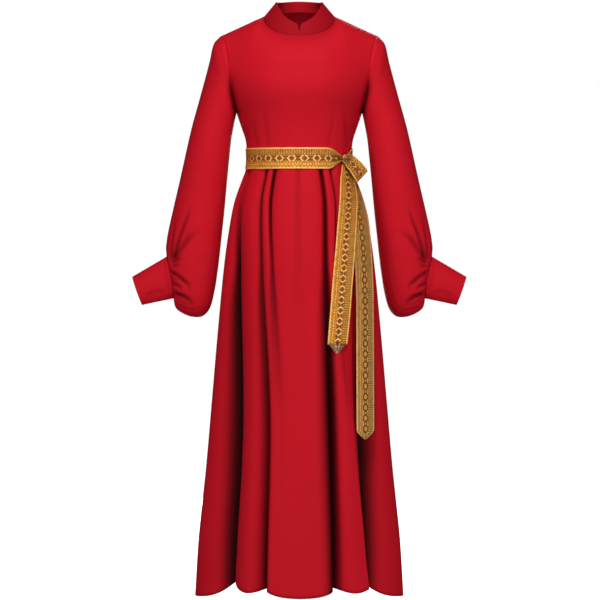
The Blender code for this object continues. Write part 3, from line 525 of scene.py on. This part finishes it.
sash = {
    "middle": -0.338, "tilt": 0.006, "halfWidth": 0.025, "pinched": 0.007, "standOff": 0.0023,
    "knotAngle": 55.0, "pinchFront": 24.0, "pinchBack": 28.0, "knotHeight": -0.344, "knotOut": 0.0088,
    "knotSize": (0.010, 0.0062, 0.0118), "knotSquare": 0.85, "knotCloth": (0.06, 0.04), "knotGrid": (48, 28),
    "loop": [  # along, off the skirt, width
        (0.0120, 0.0035, 0.016), (0.0260, 0.0080, 0.029), (0.0420, 0.0105, 0.038), (0.0530, 0.0115, 0.041),
        (0.0565, 0.0138, 0.041), (0.0535, 0.0160, 0.041), (0.0420, 0.0178, 0.041), (0.0240, 0.0172, 0.038),
        (0.0080, 0.0135, 0.034), (-0.0070, 0.0088, 0.026)],
    "loopTurn": 32.0, "loopSlope": 47.0,
    "shortTail": [  # height, centre x, width, turn, gap
        (-0.3565, 0.1100, 0.024, 46.0, 0.0120), (-0.3740, 0.1122, 0.036, 46.0, 0.0120),
        (-0.3960, 0.1146, 0.048, 43.0, 0.0115), (-0.4334, 0.1165, 0.050, 32.0, 0.0090),
        (-0.5153, 0.1114, 0.050, 22.0, 0.0036), (-0.6206, 0.1024, 0.050, 17.0, 0.0026),
        (-0.7260, 0.0936, 0.050, 17.0, 0.0026), (-0.7798, 0.0886, 0.049, 19.0, 0.0026)],
    "longTail": [
        (-0.3565, 0.1205, 0.024, 52.0, 0.0078), (-0.3740, 0.1225, 0.034, 52.0, 0.0078),
        (-0.4040, 0.1250, 0.044, 50.0, 0.0050), (-0.4487, 0.1370, 0.050, 42.0, 0.0028),
        (-0.4933, 0.1450, 0.050, 36.0, 0.0018), (-0.5780, 0.1514, 0.050, 34.0, 0.0018),
        (-0.6839, 0.1543, 0.050, 33.0, 0.0018), (-0.8085, 0.1543, 0.050, 33.0, 0.0018),
        (-0.9779, 0.1543, 0.050, 33.0, 0.0018), (-1.0019, 0.1543, 0.003, 33.0, 0.0018)],
    "probes": 8, "ripples": 3.0, "rippleOut": 0.0035,
    "troughDark": 0.85, "troughReach": 2.2, "troughEdge": 0.08, "mostDark": 0.8,
    # painted shadows, each a soft patch: how dark, then place and width across the strip, place and width
    # along it, and where and how softly the patch ends, each only where it is needed
    "loopShadows": [(0.65, None, (0.0, 0.22), None), (0.65, None, (1.0, 0.13), None),
                  (0.35, (0.62, 0.07), None, (1.0, 0.5))],
    "shortShadows": [(0.80, (0.92, 0.30), (0.0, 0.10), None), (0.35, None, (1.0, 0.012), None)],
    "longShadows": [(0.65, None, (0.0, 0.13), None), (0.25, (0.0, 0.12), None, (0.62, 0.1))],
    "tipBottom": -0.8040, "tipAcross": (0.04, 0.90), "tipMiddle": 0.48, "tipOverlap": 0.002,
    "tipBehind": 0.0014,
    "bandGrid": (240, 16), "bandCloth": (0.72, 0.05), "bandWall": 0.0012,
}


def flatAt(angle):
    # 0 at the knot, 1 where the band lies flat
    away = (angle - sash["knotAngle"] + 180.0) % 360.0 - 180.0
    reach = sash["pinchFront"] if away < 0.0 else sash["pinchBack"]
    return smooth(abs(away) / reach)


def movedOut(angle, height, distance):
    return envelope(angle, height) + outward(angle, height) * distance


def bandPoint(s, t):
    angle = sash["knotAngle"] + 360.0 * s
    flat = flatAt(angle)
    middle = sash["middle"] - sash["tilt"] * math.cos(math.radians(angle))
    halfWidth = sash["pinched"] + (sash["halfWidth"] - sash["pinched"]) * flat
    ripple = 0.5 - 0.5 * math.cos(2.0 * math.pi * sash["ripples"] * t)
    return movedOut(angle, middle + halfWidth * (1.0 - 2.0 * t),
                    sash["standOff"] + sash["rippleOut"] * ripple * (1.0 - flat))


def bandShade(s, t, co):
    # painted shade in the troughs of the ripples near the knot, but not at the edges of the band
    pinch = 1.0 - flatAt(sash["knotAngle"] + 360.0 * s)
    trough = 0.5 + 0.5 * math.cos(2.0 * math.pi * sash["ripples"] * t)
    edge = smooth(t / sash["troughEdge"]) * smooth((1.0 - t) / sash["troughEdge"])
    return sash["troughDark"] * trough * min(sash["troughReach"] * pinch, 1.0) * edge


loopAlong, loopOff, loopWidth = columnCurves([(k, *row) for k, row in enumerate(sash["loop"])])


def loopPoint(s, t):
    slope, turn = math.radians(sash["loopSlope"]), math.radians(sash["loopTurn"])
    centre = movedOut(sash["knotAngle"], sash["knotHeight"], sash["knotOut"])
    across = Vector((math.cos(turn), math.sin(turn), 0.0))
    out = Vector((math.sin(turn), -math.cos(turn), 0.0))
    k = t * (len(sash["loop"]) - 1)
    over = loopWidth(k) * (s - 0.5)
    sideways = loopAlong(k) * math.cos(slope) - over * math.sin(slope)
    down = loopAlong(k) * math.sin(slope) + over * math.cos(slope)
    return centre + across * sideways + out * loopOff(k) - Vector((0.0, 0.0, down))


def tailPoint(rows):
    xAt, widthAt, turnAt, gapAt = columnCurves(rows)
    top, bottom = rows[0][0], rows[-1][0]

    @lru_cache(maxsize=None)
    def rowAt(height):
        width, turn = widthAt(height), math.radians(turnAt(height))
        across = Vector((math.cos(turn), math.sin(turn), 0.0))
        side, depth = skirtSide(height), skirtFrontDepth(height)
        nearest = 1.0
        for k in range(sash["probes"] + 1):
            over = width * (k / sash["probes"] - 0.5)
            spot = xAt(height) + across.x * over
            wall = -depth * math.sqrt(max(1.0 - (spot / side) ** 2, 0.0))
            nearest = min(nearest, wall - gapAt(height) - across.y * over)
        return Vector((xAt(height), nearest, height)), across * width

    def at(s, t):
        centre, reach = rowAt(round(top + (bottom - top) * t, 7))
        return centre + reach * (s - 0.5)
    return at


shortTailPoint = tailPoint(sash["shortTail"])


# painted shadows on the sash strips, summed and held under most
def spotShade(shadows, most=1.0):
    def at(s, t, co):
        total = 0.0
        for dark, across, along, end in shadows:
            if across:
                dark *= bell(s - across[0], across[1])
            if along:
                dark *= bell(t - along[0], along[1])
            if end:
                dark *= smooth((end[0] - t) / end[1])
            total += dark
        return min(total, most)
    return at


def tipPoint(s, t):
    # the corner of the short end that is turned under, just behind its lower edge
    start, span = sash["tipAcross"]
    middle = shortTailPoint(sash["tipMiddle"], 1.0)
    place = shortTailPoint(start + span * s, 1.0).lerp(middle, t)
    top = middle.z + sash["tipOverlap"]
    place.z = top + (sash["tipBottom"] - top) * t
    place.y += sash["tipBehind"]
    return place


# Making a piece of cloth: a grid laid out flat, then moved to its place

making = {
    "wall": 0.0009, "mergeDistance": 0.00002, "smoothingFrom": 0.012, "creaseShade": 110.0, "mostShade": 0.8,
    "creaseReach": 3.0, "turnFrom": 0.05, "turnOver": 0.4, "creaseStart": (0.15, 0.35), "creaseEnd": 0.5,
}


def addObject(name, data):
    item = bpy.data.objects.new(name, data)
    bpy.context.scene.collection.objects.link(item)
    return item


def flatPlace(width, length):
    return lambda s, t: (s * width, t * length)


def stripPlace(length, width):
    # u runs along the strip and v across it, both in metres, with v at 0 in the middle
    return lambda s, t: (t * length, (s - 0.5) * width)


def bandPlace(length, width):
    # the same for the band, which runs along s
    return lambda s, t: (s * length, (0.5 - t) * width)


def clothPiece(name, surface, grid, place, inside, closed=False, wall=making["wall"], relief=None,
               shade=None, smoothing=0):
    shape = bmesh.new()
    bmesh.ops.create_grid(shape, x_segments=grid[0], y_segments=grid[1], size=0.5)
    uvLayer = shape.loops.layers.uv.new("cloth")
    # painted shade, kept per point for the material to darken the colour by
    shadeLayer = shape.verts.layers.float.new("foldShade")
    for face in shape.faces:
        for loop in face.loops:
            loop[uvLayer].uv = place(loop.vert.co.x + 0.5, 0.5 - loop.vert.co.y)
    for vert in shape.verts:
        s, t = min(max(vert.co.x + 0.5, 0.0), 1.0), min(max(0.5 - vert.co.y, 0.0), 1.0)
        vert.co = surface(s, t)
        vert[shadeLayer] = shade(s, t, vert.co) if shade else 0.0
    if closed:
        bmesh.ops.remove_doubles(shape, verts=shape.verts, dist=making["mergeDistance"])
    # the centre line keeps its place, so that the halves of the back still meet
    smoothingFrom = making["smoothingFrom"]
    inner = [vert for vert in shape.verts if not vert.is_boundary and abs(vert.co.x) > smoothingFrom]
    for _ in range(smoothing):
        bmesh.ops.smooth_vert(shape, verts=inner, factor=0.5, use_axis_x=True, use_axis_y=True,
                              use_axis_z=True)
    bmesh.ops.recalc_face_normals(shape, faces=shape.faces)
    middle = Vector(inside)
    facing = sum(face.normal.dot(face.calc_center_median() - middle) for face in shape.faces)
    if facing < 0.0:
        bmesh.ops.reverse_faces(shape, faces=shape.faces)
    shape.normal_update()
    if relief:
        moves = [(vert, relief(vert.co, vert.normal), vert.normal.copy()) for vert in shape.verts]
        for vert, move, normal in moves:
            vert.co += normal * move
            # painted shade in the creases: the deeper the crease, the darker
            dark = max(vert[shadeLayer], -move * making["creaseShade"])
            vert[shadeLayer] = min(dark, making["mostShade"])
    mesh = bpy.data.meshes.new(name)
    shape.to_mesh(mesh)
    area = sum(face.calc_area() for face in shape.faces)
    shape.free()
    mesh.shade_smooth()
    piece = addObject(name, mesh)
    thicken = piece.modifiers.new("clothWall", "SOLIDIFY")
    thicken.thickness = wall
    thicken.offset = -1.0
    print(f"{name}: {area:.4f} m2")
    return piece


# Creases, given one by one: lines in x and z seen from the front or the back, with a depth and a width

def creaseRelief(creases, mirrored=False):
    lines = []
    for facing, depth, width, points in creases:
        lengths = [0.0]
        for a, b in zip(points, points[1:]):
            lengths.append(lengths[-1] + math.dist(a, b))
        reach = making["creaseReach"] * width
        low = (min(p[0] for p in points) - reach, min(p[1] for p in points) - reach)
        high = (max(p[0] for p in points) + reach, max(p[1] for p in points) + reach)
        lines.append((facing, depth, width, points, lengths, low, high))
    startLength, startShare = making["creaseStart"]

    def at(co, normal):
        x, z = (abs(co.x) if mirrored else co.x), co.z
        total = 0.0
        for facing, depth, width, points, lengths, low, high in lines:
            turned = smooth((normal.y * facing - making["turnFrom"]) / making["turnOver"])
            if turned <= 0.0 or not (low[0] < x < high[0] and low[1] < z < high[1]):
                continue
            best, where = 1.0, 0.0
            for k, (a, b) in enumerate(zip(points, points[1:])):
                dx, dz = b[0] - a[0], b[1] - a[1]
                u = min(max(((x - a[0]) * dx + (z - a[1]) * dz) / (dx * dx + dz * dz), 0.0), 1.0)
                away = math.hypot(x - a[0] - u * dx, z - a[1] - u * dz)
                if away < best:
                    best, where = away, (lengths[k] + u * (lengths[k + 1] - lengths[k])) / lengths[-1]
            fade = smooth(where / startLength + startShare) * smooth((1.0 - where) / making["creaseEnd"])
            total -= depth * fade * turned * bell(best, width)
        return total
    return at


def placePiece(piece, material, node):
    piece.data.materials.append(material)
    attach(piece, "root")
    if node:
        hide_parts(node)


# Shader maths: a wrapped socket takes part in plain sums

class Value:
    def __init__(self, maker, socket):
        self.maker = maker
        self.socket = socket

    def join(self, operation, first, second=None):
        inputs = {0: first}
        if second is not None:
            inputs[1] = second
        return self.maker.add("ShaderNodeMath", {"operation": operation}, inputs)

    def __add__(self, other):
        return self.join("ADD", self, other)

    def __sub__(self, other):
        return self.join("SUBTRACT", self, other)

    def __rsub__(self, other):
        return self.join("SUBTRACT", other, self)

    def __mul__(self, other):
        return self.join("MULTIPLY", self, other)

    def __abs__(self):
        return self.join("ABSOLUTE", self)

    def repeat(self, size):
        # the distance from the nearest multiple of size
        return self.join("PINGPONG", self, size / 2.0)

    def sine(self):
        return self.join("SINE", self)

    def most(self, other):
        return self.join("MAXIMUM", self, other)

    def below(self, limit, soft):
        # 1 well under the limit, 0 well over it
        return self.maker.add("ShaderNodeMapRange", {"interpolation_type": "SMOOTHSTEP", "clamp": True},
                              {0: self, 1: limit - soft, 2: limit + soft, 3: 1.0, 4: 0.0})


class Maker:
    def __init__(self, name):
        self.material = bpy.data.materials.new(name)
        self.material.use_nodes = True
        self.tree = self.material.node_tree
        self.shader = self.tree.nodes["Principled BSDF"]

    def node(self, kind, settings, inputs):
        node = self.tree.nodes.new(kind)
        for key, value in settings.items():
            setattr(node, key, value)
        for key, value in inputs.items():
            self.feed(node.inputs[key], value)
        return node

    def feed(self, socket, value):
        if isinstance(value, Value):
            self.tree.links.new(value.socket, socket)
        elif socket.type == "RGBA":
            socket.default_value = (*value, 1.0)
        else:
            socket.default_value = value

    def add(self, kind, settings, inputs, output=0):
        return Value(self, self.node(kind, settings, inputs).outputs[output])

    def cloth(self):
        # the two directions of the piece's own cloth map, in metres, and the map itself
        uv = self.add("ShaderNodeUVMap", {"uv_map": "cloth"}, {})
        parts = self.node("ShaderNodeSeparateXYZ", {}, {0: uv})
        return uv, Value(self, parts.outputs[0]), Value(self, parts.outputs[1])

    def noise(self, place, scale, detail):
        return self.add("ShaderNodeTexNoise", {}, {"Vector": place, "Scale": scale, "Detail": detail})

    def darkened(self, colour, shadeColour):
        # painted shade: the colour goes towards shadeColour as far as the foldShade attribute says
        shade = self.add("ShaderNodeAttribute", {"attribute_name": "foldShade"}, {}, 2)
        return self.mix(shade, colour, shadeColour)

    def mix(self, factor, first, second):
        return self.add("ShaderNodeMix", {"data_type": "RGBA"}, {0: factor, 6: first, 7: second}, 2)

    def bump(self, height, strength, distance):
        return self.add("ShaderNodeBump", {}, {"Strength": strength, "Distance": distance, "Height": height})

    def finish(self, values):
        for name, value in values.items():
            self.feed(self.shader.inputs[name], value)
        return self.material


crepe = {
    "red": (0.540, 0.0075, 0.0180), "deep": (0.470, 0.0060, 0.0140), "shadeColour": (0.012, 0.0002, 0.0003),
    "patch": 6.0, "patchDetail": 3.0, "thread": 0.0011, "twill": 2.2, "pebble": 900.0, "pebbleDetail": 2.0,
    # half widths with their soft edges, in metres
    "hemStitch": 1.016, "stitch": (0.0006, 0.0003), "stitchStep": 0.0040, "stitchLength": (0.0012, 0.0003),
    "hemFold": (0.0016, 0.0008),
    "relief": {"warp": 0.2, "weft": 0.2, "twill": 0.25, "pebble": 1.2, "fold": 2.5, "stitch": 1.5},
    "bump": (0.16, 0.0004), "roughness": 0.62, "roughnessSpread": 0.10, "specular": 0.04,
    "sheen": 0.01, "sheenRoughness": 0.35, "sheenTint": (1.0, 0.45, 0.50),
}


def crepeMaterial():
    maker = Maker("redCrepe")
    uv, across, along = maker.cloth()
    place = maker.add("ShaderNodeTexCoord", {}, {}, 3)
    cloudy = maker.noise(place, crepe["patch"], crepe["patchDetail"])
    turnPerMetre = 2.0 * math.pi / crepe["thread"]
    warp = (across * turnPerMetre).sine()
    weft = (along * turnPerMetre).sine()
    twill = ((across + along) * (turnPerMetre / crepe["twill"])).sine()
    pebble = maker.noise(uv, crepe["pebble"], crepe["pebbleDetail"])
    fromHem = abs(along - crepe["hemStitch"])
    stitch = across.repeat(crepe["stitchStep"]).below(*crepe["stitchLength"])
    stitch = stitch * fromHem.below(*crepe["stitch"])
    fold = fromHem.below(*crepe["hemFold"])
    relief = crepe["relief"]
    weave = warp * relief["warp"] + weft * relief["weft"] + twill * relief["twill"]
    height = weave + pebble * relief["pebble"] - fold * relief["fold"] + stitch * relief["stitch"]
    colour = maker.darkened(maker.mix(cloudy, crepe["deep"], crepe["red"]), crepe["shadeColour"])
    spread = crepe["roughnessSpread"]
    return maker.finish({
        "Sheen Weight": crepe["sheen"], "Sheen Roughness": crepe["sheenRoughness"],
        "Sheen Tint": crepe["sheenTint"], "Specular IOR Level": crepe["specular"],
        "Base Color": colour, "Roughness": cloudy * spread + (crepe["roughness"] - spread / 2.0),
        "Normal": maker.bump(height, *crepe["bump"])})


brocade = {
    # lengths in metres; a pair is a half width, or a line's place from the middle and its half width
    "centreBand": 0.0078, "border": 0.0212, "lineSoft": 0.0003, "markSoft": 0.0005, "halfSoft": 0.0002,
    "chevron": 0.0056, "chevronSlope": 1.3, "chevronWidth": 0.0015,
    "dot": 0.0054, "dotLength": 0.0016, "dotLine": (0.0112, 0.0013),
    "zigzag": 0.0078, "zigzagSlope": 0.9, "zigzagLine": (0.0152, 0.0009),
    "glint": 0.0062, "glintSlope": 0.0050, "glintWidth": 0.0008,
    "innerLine": (0.0082, 0.0004), "outerLine": (0.0208, 0.0005),
    "hexagon": (0.80, 0.60, 1.15), "ringSize": 0.0068, "innerSize": 0.0056, "heartSize": 0.0016,
    "barLine": (0.0030, 0.0016), "barGap": 0.0085,
    "shares": {"sideMark": 0.95, "glint": 0.8, "centre": 0.8, "lines": 0.7, "bars": 0.85},
    "relief": {"heart": 0.6, "sideMark": 0.5, "bars": 0.5, "thread": 0.25, "edge": 0.5, "glint": 0.4},
    "thread": 0.0006, "wearScale": 90.0, "wearDetail": 3.0, "wear": (0.42, 0.10), "wearShare": 0.35,
    "shadeColour": (0.030, 0.008, 0.002), "bump": (0.4, 0.0006), "specular": 0.2, "metallic": 0.35,
    "roughness": 0.45, "ringPolish": 0.08, "markRoughness": 0.12,
    "bright": {"gold": (0.850, 0.335, 0.034), "border": (0.980, 0.500, 0.120),
               "brown": (0.105, 0.028, 0.005), "middle": (0.330, 0.105, 0.014),
               "ring": (0.980, 0.520, 0.150), "heart": (0.105, 0.028, 0.005),
               "innerShare": 0.60, "ringWidth": 0.0014, "ringGap": 0.0016},
    "dull": {"gold": (0.700, 0.320, 0.066), "border": (0.800, 0.440, 0.150),
             "brown": (0.100, 0.045, 0.010), "middle": (0.760, 0.350, 0.070),
             "ring": (0.080, 0.035, 0.009), "heart": (0.740, 0.350, 0.080),
             "innerShare": 0.15, "ringWidth": 0.0016, "ringGap": -0.0010},
    "reverse": {"gold": (0.330, 0.160, 0.090), "border": (0.420, 0.220, 0.120),
                "brown": (0.085, 0.030, 0.015), "middle": (0.380, 0.200, 0.130),
                "ring": (0.560, 0.360, 0.240), "heart": (0.085, 0.030, 0.015),
                "innerShare": 0.60, "ringWidth": 0.0014, "ringGap": 0.0016},
}


def brocadeMaterial(name, palette, spacing):
    # palette: the colours, how dark the inside of a medallion is, and the width and the gap of its ring
    maker = Maker(name)
    uv, along, across = maker.cloth()
    fromMiddle = abs(across)
    lineSoft, soft = brocade["lineSoft"], brocade["markSoft"]

    def line(place, width, edge=lineSoft):
        return abs(fromMiddle - place).below(width, edge)

    centre = fromMiddle.below(brocade["centreBand"], lineSoft)
    edge = 1.0 - fromMiddle.below(brocade["border"], lineSoft)
    sides = (1.0 - centre) * (1.0 - edge)
    # chevrons on one side of the medallions, dots and a zigzag on the other
    upper = across.below(0.0, brocade["halfSoft"])
    slanted = along + across.repeat(brocade["chevron"] * brocade["chevronSlope"])
    chevron = slanted.repeat(brocade["chevron"]).below(brocade["chevronWidth"], soft)
    dots = along.repeat(brocade["dot"]).below(brocade["dotLength"], soft) * line(*brocade["dotLine"], soft)
    zigzagPlace, zigzagWidth = brocade["zigzagLine"]
    zigzagRise = (fromMiddle - zigzagPlace) * brocade["zigzagSlope"]
    zigzag = abs(along.repeat(brocade["zigzag"]) - zigzagRise).below(zigzagWidth, soft)
    sideMark = (chevron * (1.0 - upper)).most(dots.most(zigzag) * upper) * sides
    glintLine = (along - across.repeat(brocade["glintSlope"])).repeat(brocade["glint"])
    glint = glintLine.below(brocade["glintWidth"], soft) * sides * (1.0 - sideMark)
    lines = line(*brocade["innerLine"]).most(line(*brocade["outerLine"]))
    # the row of six-sided medallions, with bars between them
    local = along.repeat(spacing)
    slopeAlong, slopeAcross, flatSide = brocade["hexagon"]
    hexagon = (local * slopeAlong + fromMiddle * slopeAcross).most(fromMiddle * flatSide)
    ring = abs(hexagon - brocade["ringSize"]).below(palette["ringWidth"], soft)
    ring = ring * (1.0 - local.below(palette["ringGap"], soft))
    heart = (local + fromMiddle).below(brocade["heartSize"], soft)
    bars = line(*brocade["barLine"], soft) * centre * (1.0 - hexagon.below(brocade["barGap"], soft))
    inner = hexagon.below(brocade["innerSize"], soft) * (1.0 - heart)
    wear = maker.noise(uv, brocade["wearScale"], brocade["wearDetail"]).below(*brocade["wear"])
    shares = brocade["shares"]
    colour = palette["gold"]
    for share, over in ((sideMark * shares["sideMark"], "brown"), (glint * shares["glint"], "border"),
                        (centre * shares["centre"], "middle"), (lines * shares["lines"], "brown"),
                        (bars * shares["bars"], "brown"), (inner * palette["innerShare"], "brown"),
                        (heart, "heart"), (ring, "ring"), (edge, "border"),
                        (wear * brocade["wearShare"], "brown")):
        colour = maker.mix(share, colour, palette[over])
    turnPerMetre = 2.0 * math.pi / brocade["thread"]
    thread = (along * turnPerMetre).sine() * 0.5 + (across * turnPerMetre).sine() * 0.5
    relief = brocade["relief"]
    height = ring + heart * relief["heart"] - sideMark * relief["sideMark"] - bars * relief["bars"]
    height = height + thread * relief["thread"] + edge * relief["edge"] + glint * relief["glint"]
    roughness = brocade["roughness"] - ring * brocade["ringPolish"]
    return maker.finish({
        "Specular IOR Level": brocade["specular"], "Base Color": maker.darkened(colour, brocade["shadeColour"]),
        "Roughness": roughness + sideMark * brocade["markRoughness"],
        "Metallic": (1.0 - sideMark.most(bars)) * brocade["metallic"],
        "Normal": maker.bump(height, *brocade["bump"])})


print("materials")
redCrepe = crepeMaterial()
goldBrocade = brocadeMaterial("goldBrocade", brocade["bright"], 0.027)
tailBrocade = brocadeMaterial("tailBrocade", brocade["bright"], 0.025)
dullBrocade = brocadeMaterial("dullBrocade", brocade["dull"], 0.025)
backBrocade = brocadeMaterial("backBrocade", brocade["reverse"], 0.012)

print("bodice")
for name, node, facing, start, end in (
        ("bodiceFront", "bodice_front", -1, -1.0, 1.0), ("bodiceBackLeft", "bodice_back_left", 1, -1.0, 0.0),
        ("bodiceBackRight", "bodice_back_right", 1, 0.0, 1.0)):
    share = (end - start) / 2.0
    width, length = bodice["cloth"]
    placePiece(
        clothPiece(name, bodicePoint(facing, start, end), (round(bodice["columns"] * share), bodice["rows"]),
                   flatPlace(width * share, length), bodice["inside"], relief=creaseRelief(bodice["creases"]),
                   shade=armholeShade, smoothing=bodice["smoothing"]),
        redCrepe, node)

print("collar")
placePiece(
    clothPiece("collarBand", collarPoint, (collar["columns"], collar["rows"]), flatPlace(*collar["cloth"]),
               collar["inside"], closed=True, wall=collar["wall"], shade=collarShade),
    redCrepe, "collar")

print("sleeves and cuffs")
for side, word in ((1.0, "Left"), (-1.0, "Right")):
    x, y, z = sleeve["inside"]
    placePiece(
        clothPiece("sleeve" + word, sleevePoint(side), (sleeve["columns"], sleeve["rows"]),
                   flatPlace(*sleeve["cloth"]), (side * x, y, z), closed=True,
                   relief=creaseRelief(sleeve["creases"], True), shade=armholeShade),
        redCrepe, "sleeve_" + word.lower())
    x, y, z = sleeve["cuffInside"]
    placePiece(
        clothPiece("cuff" + word, cuffPoint(side), (sleeve["columns"], sleeve["cuffRows"]),
                   flatPlace(*sleeve["cuffCloth"]), (side * x, y, z), closed=True, wall=sleeve["cuffWall"],
                   relief=creaseRelief(sleeve["cuffCreases"], True)),
        redCrepe, "cuff_" + word.lower())

print("skirt")
for name, node, first, last in (
        ("skirtFront", "skirt_front", 0, 8), ("skirtBackLeft", "skirt_back_left", 8, 12),
        ("skirtBackRight", "skirt_back_right", 12, 16)):
    placePiece(
        clothPiece(name, skirtPoint(first, last), (skirt["columnsPerFold"] * (last - first), skirt["rows"]),
                   skirtPlace(first, last), skirt["inside"], shade=skirtShade(first, last)),
        redCrepe, node)

print("sash")
knotCentre = movedOut(sash["knotAngle"], sash["knotHeight"], sash["knotOut"])
placePiece(
    clothPiece("sashBand", bandPoint, sash["bandGrid"], bandPlace(*sash["bandCloth"]),
               (0.0, 0.0, sash["middle"]), closed=True, wall=sash["bandWall"], shade=bandShade),
    goldBrocade, "sash_band")
# name, surface, grid, length and width, wall, a point behind it, shade, material, CAD node
for name, surface, grid, cloth, wall, inside, shade, material, node in (
        ("sashLoop", loopPoint, (24, 72), (0.13, 0.05), 0.0010, knotCentre,
         spotShade(sash["loopShadows"], sash["mostDark"]), goldBrocade, "sash_loop"),
        ("sashTailShort", shortTailPoint, (20, 150), (0.43, 0.05), 0.0010, (0.1, 0.0, -0.55),
         spotShade(sash["shortShadows"], sash["mostDark"]), tailBrocade, "sash_tail_short"),
        ("sashTailLong", tailPoint(sash["longTail"]), (20, 200), (0.65, 0.05), 0.0010, (0.1, 0.0, -0.68),
         spotShade(sash["longShadows"]), dullBrocade, "sash_tail_long"),
        # the turned-under corner of the short end, seen from its wrong side
        ("sashTipShort", tipPoint, (16, 16), (0.024, 0.045), 0.0008, (0.08, 0.0, -0.79),
         None, backBrocade, None)):
    placePiece(clothPiece(name, surface, grid, stripPlace(*cloth), inside, wall=wall, shade=shade),
               material, node)


def knotPiece():
    # a ball, squared off and laid in the band's direction
    shape = bmesh.new()
    shape.loops.layers.uv.new("cloth")
    aroundCount, upCount = sash["knotGrid"]
    bmesh.ops.create_uvsphere(shape, u_segments=aroundCount, v_segments=upCount, radius=1.0, calc_uvs=True)
    out = outward(sash["knotAngle"], sash["knotHeight"])
    along = Vector((-out.y, out.x, 0.0))
    width, depth, height = sash["knotSize"]
    for vert in shape.verts:
        x, y, z = vert.co
        place = knotCentre + along * width * math.copysign(abs(x) ** sash["knotSquare"], x)
        place += out * depth * math.copysign(abs(y) ** sash["knotSquare"], y)
        vert.co = place + Vector((0.0, 0.0, height * z))
    mesh = bpy.data.meshes.new("sashKnot")
    shape.to_mesh(mesh)
    shape.free()
    clothLength, clothWidth = sash["knotCloth"]
    for loop in mesh.uv_layers[0].data:
        loop.uv = (loop.uv[0] * clothLength, (loop.uv[1] - 0.5) * clothWidth)
    mesh.shade_smooth()
    return addObject("sashKnot", mesh)


placePiece(knotPiece(), goldBrocade, "sash_knot")

print("stage, light and camera")
studio = {
    "floor": -1.405, "floorSize": 12.0, "lens": 105.0, "sensor": 36.0, "camera": (0.0017, -4.2, -0.6768),
    "worldLight": 0.06,
    "lights": [  # name, place, aim, width, height, energy
        ("stripLight", (0.0, -1.6, 0.95), (0.0, 0.0, -0.35), 0.30, 1.3, 23.8),
        ("leftFill", (-1.9, -1.7, -1.25), (0.0, 0.0, -1.0), 0.80, 1.2, 18.5),
        ("rightFill", (1.9, -1.7, -1.25), (0.0, 0.0, -1.0), 0.80, 1.2, 20.5),
        ("shoulderLight", (0.0, -0.9, 1.10), (0.0, 0.0, 0.05), 0.70, 0.3, 7.5),
        ("lowLight", (0.0, -2.4, -1.0), (0.0, 0.0, -0.9), 0.40, 1.0, 12.0),
        ("backLight", (0.35, 1.8, 0.40), (0.0, 0.0, -0.35), 0.50, 1.3, 23.0),
        ("lowBackLight", (-0.35, 2.3, -1.0), (0.0, 0.0, -0.9), 0.50, 1.0, 20.0)],
}


def makeStage():
    mesh = bpy.data.meshes.new("paleFloor")
    shape = bmesh.new()
    bmesh.ops.create_grid(shape, x_segments=1, y_segments=1, size=studio["floorSize"])
    for vert in shape.verts:
        vert.co.z = studio["floor"]
    shape.to_mesh(mesh)
    shape.free()
    floor = addObject("paleFloor", mesh)
    floor.data.materials.append(Maker("paleFloor").finish({
        "Base Color": (0.9, 0.9, 0.9), "Roughness": 0.9, "Emission Color": (1.0, 1.0, 1.0),
        "Emission Strength": 1.0}))
    floor.visible_diffuse = False
    floor.visible_glossy = False
    floor.visible_shadow = False


def makeLights():
    for name, place, aim, width, height, energy in studio["lights"]:
        light = bpy.data.lights.new(name, "AREA")
        light.shape = "RECTANGLE"
        light.size = width
        light.size_y = height
        light.energy = energy
        lamp = addObject(name, light)
        lamp.location = place
        lamp.rotation_euler = (Vector(aim) - Vector(place)).to_track_quat("-Z", "Y").to_euler()


def makeWorld():
    # white where the camera sees it, and only a little light from all round
    world = bpy.data.worlds.new("studioWorld")
    bpy.context.scene.world = world
    world.use_nodes = True
    nodes, links = world.node_tree.nodes, world.node_tree.links
    soft = nodes["Background"]
    soft.inputs[0].default_value = (1.0, 1.0, 1.0, 1.0)
    soft.inputs[1].default_value = studio["worldLight"]
    white = nodes.new("ShaderNodeBackground")
    white.inputs[0].default_value = (1.0, 1.0, 1.0, 1.0)
    seen = nodes.new("ShaderNodeLightPath")
    both = nodes.new("ShaderNodeMixShader")
    links.new(seen.outputs["Is Camera Ray"], both.inputs[0])
    links.new(soft.outputs[0], both.inputs[1])
    links.new(white.outputs[0], both.inputs[2])
    links.new(both.outputs[0], nodes["World Output"].inputs[0])


def makeCamera():
    data = bpy.data.cameras.new("photoCamera")
    data.lens = studio["lens"]
    data.sensor_width = studio["sensor"]
    camera = addObject("photoCamera", data)
    camera.location = studio["camera"]
    camera.rotation_euler = (math.radians(90.0), 0.0, 0.0)
    bpy.context.scene.camera = camera


makeStage()
makeLights()
makeWorld()
makeCamera()
bpy.context.scene.view_settings.view_transform = "Standard"
